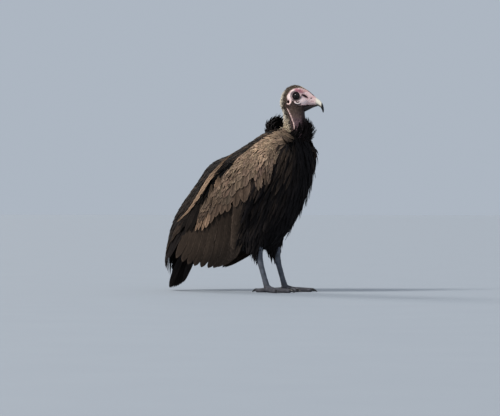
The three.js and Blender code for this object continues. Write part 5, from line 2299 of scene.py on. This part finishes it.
@dataclass
class Studio:
    """The camera, the soft lights and the pale floor."""

    view_turn: float = math.radians(32)  # of the camera round the bird, from its right side
    distance: float = 6.39
    lens: float = 200.0
    sensor: float = 36.0
    aim: tuple[float, float, float] = (36.6 * MM, -26.8 * MM, 193.2 * MM)

    def camera(self) -> None:
        """A level, long-lens view of the whole bird."""
        data = bpy.data.cameras.new("camera")
        data.lens = self.lens
        data.sensor_width = self.sensor
        data.clip_end = 100
        camera = shown("camera", data)
        ahead = Vector((-math.sin(self.view_turn), math.cos(self.view_turn), 0))
        camera.location = Vector(self.aim) - ahead * self.distance
        camera.rotation_euler = ahead.to_track_quat("-Z", "Y").to_euler()
        bpy.context.scene.camera = camera

    def lights(self) -> None:
        """A large key light from the front left, a broad fill and a pale surround."""
        for name, place, spread, power, colour in (
            ("key", (-1.4, -2.9, 3.1), 16, 3.3, (1.0, 0.955, 0.89)),
            ("fill", (3.4, -2.2, 1.0), 60, 0.45, (0.88, 0.94, 1.0)),
            ("back", (-3.6, 1.6, 2.2), 20, 1.5, (1.0, 0.98, 0.95)),
        ):
            data = bpy.data.lights.new(name, "SUN")
            data.energy = power
            data.angle = math.radians(spread)
            data.color = colour
            shown(name, data).rotation_euler = (-Vector(place)).to_track_quat("-Z", "Y").to_euler()
        world = bpy.data.worlds.new("surround")
        world.use_nodes = True
        surround = world.node_tree.nodes["Background"]
        surround.inputs["Color"].default_value = (0.72, 0.81, 0.93, 1)
        surround.inputs["Strength"].default_value = 0.58
        bpy.context.scene.world = world
        bpy.context.scene.view_settings.view_transform = "Standard"

    def floor(self) -> Object:
        """A wide pale floor."""
        reach = 60.0
        corners = np.array([(-reach, -reach, 0), (reach, -reach, 0), (reach, reach, 0), (-reach, reach, 0)])
        floor = quad_object("floor", corners, np.array([[0, 1, 2, 3]]))
        n = Finish("floor_paint")
        colour = n.blend(n.noise(n.place, 6.0, 4.0), (0.256, 0.285, 0.324), (0.274, 0.304, 0.342))
        floor.data.materials.append(n.shade({"Base Color": colour, "Roughness": 0.75, "Specular IOR Level": 0.2}))
        return floor


# ---- Assembly ----


def main() -> None:
    """Builds the bird and its studio."""
    logging.basicConfig(level=logging.INFO, format="%(name)s: %(message)s")
    studio = Studio()
    studio.camera()
    studio.lights()
    studio.floor()

    shell = Sections(WING_SECTIONS)
    back_surface = shell.surface()
    wing_form = form_mesh(both("wing", "primaries"), 3 * MM, 1)
    whole_form = form_mesh(["trunk", *both("wing", "thigh")], 3 * MM, 8)
    wing_surface, whole_surface = surface_of(wing_form), surface_of(whole_form)
    discard(wing_form)
    discard(whole_form)

    head = Head()
    legs = [Leg(side) for side in Side]
    flesh = SkinFinish().material()
    skin = Skin(head, legs).build()
    flesh_nodes = ("head", "neck", "trunk", *both("thigh", "shank", "foot"))
    dress(skin, flesh, flesh_nodes)
    dress(HoodDown(head).build(skin, DownFinish().material()), DownFinish().material())
    horn = HornFinish("bill_horn").material()
    for piece, node in zip(Bill(head).build(), ("bill_upper", "bill_lower")):
        dress(piece, horn, (node,))
    wet = EyeFinish().material()
    claw_horn = HornFinish("claw_horn", 0.3, 0.3).material()
    for side, leg in zip(Side, legs):
        dress(Eye(head, side).build(), wet, (f"eye_{side.label}",))
        claws = leg.claws()
        set_colour(claws.data, "tone", np.tile(linear(30, 29, 31), (len(claws.data.vertices), 1)))
        dress(claws, claw_horn, [f"claw_{toe[0]}_{side.label}" for toe in leg.toes])

    pale = VaneFinish("pale_covert", fringe=0.5, centre=0.62, root=0.4).material()
    dark = VaneFinish("dark_plume", fringe=0.4, centre=0.85).material()
    quill = VaneFinish("quill_vane", 0.8, fringe_width=0.08, centre=0.85, streaks=0.2, shaft=1.3).material()
    for side in Side:
        wing = Wing(side, shell, back_surface, 20 + 5 * side.value)
        quills = wing.quills().build(body_unwrap)
        dress(quills, quill, (f"wing_{side.label}", f"primaries_{side.label}"))
        dress(wing.greater().build(body_unwrap), pale)
        dress(wing.small_coverts().build(body_unwrap), pale)
        dress(wing.back().build(body_unwrap), dark)
    for vanes in BodyCoat(whole_surface, wing_surface).build():
        dress(vanes.build(body_unwrap), dark)
    dress(Tail().build().build(body_unwrap), quill, ("tail",))
    dress(Ruff(Sections(RUFF_SECTIONS)).build().build(body_unwrap), dark, ("ruff",))


if __name__ == "__main__":
    main()
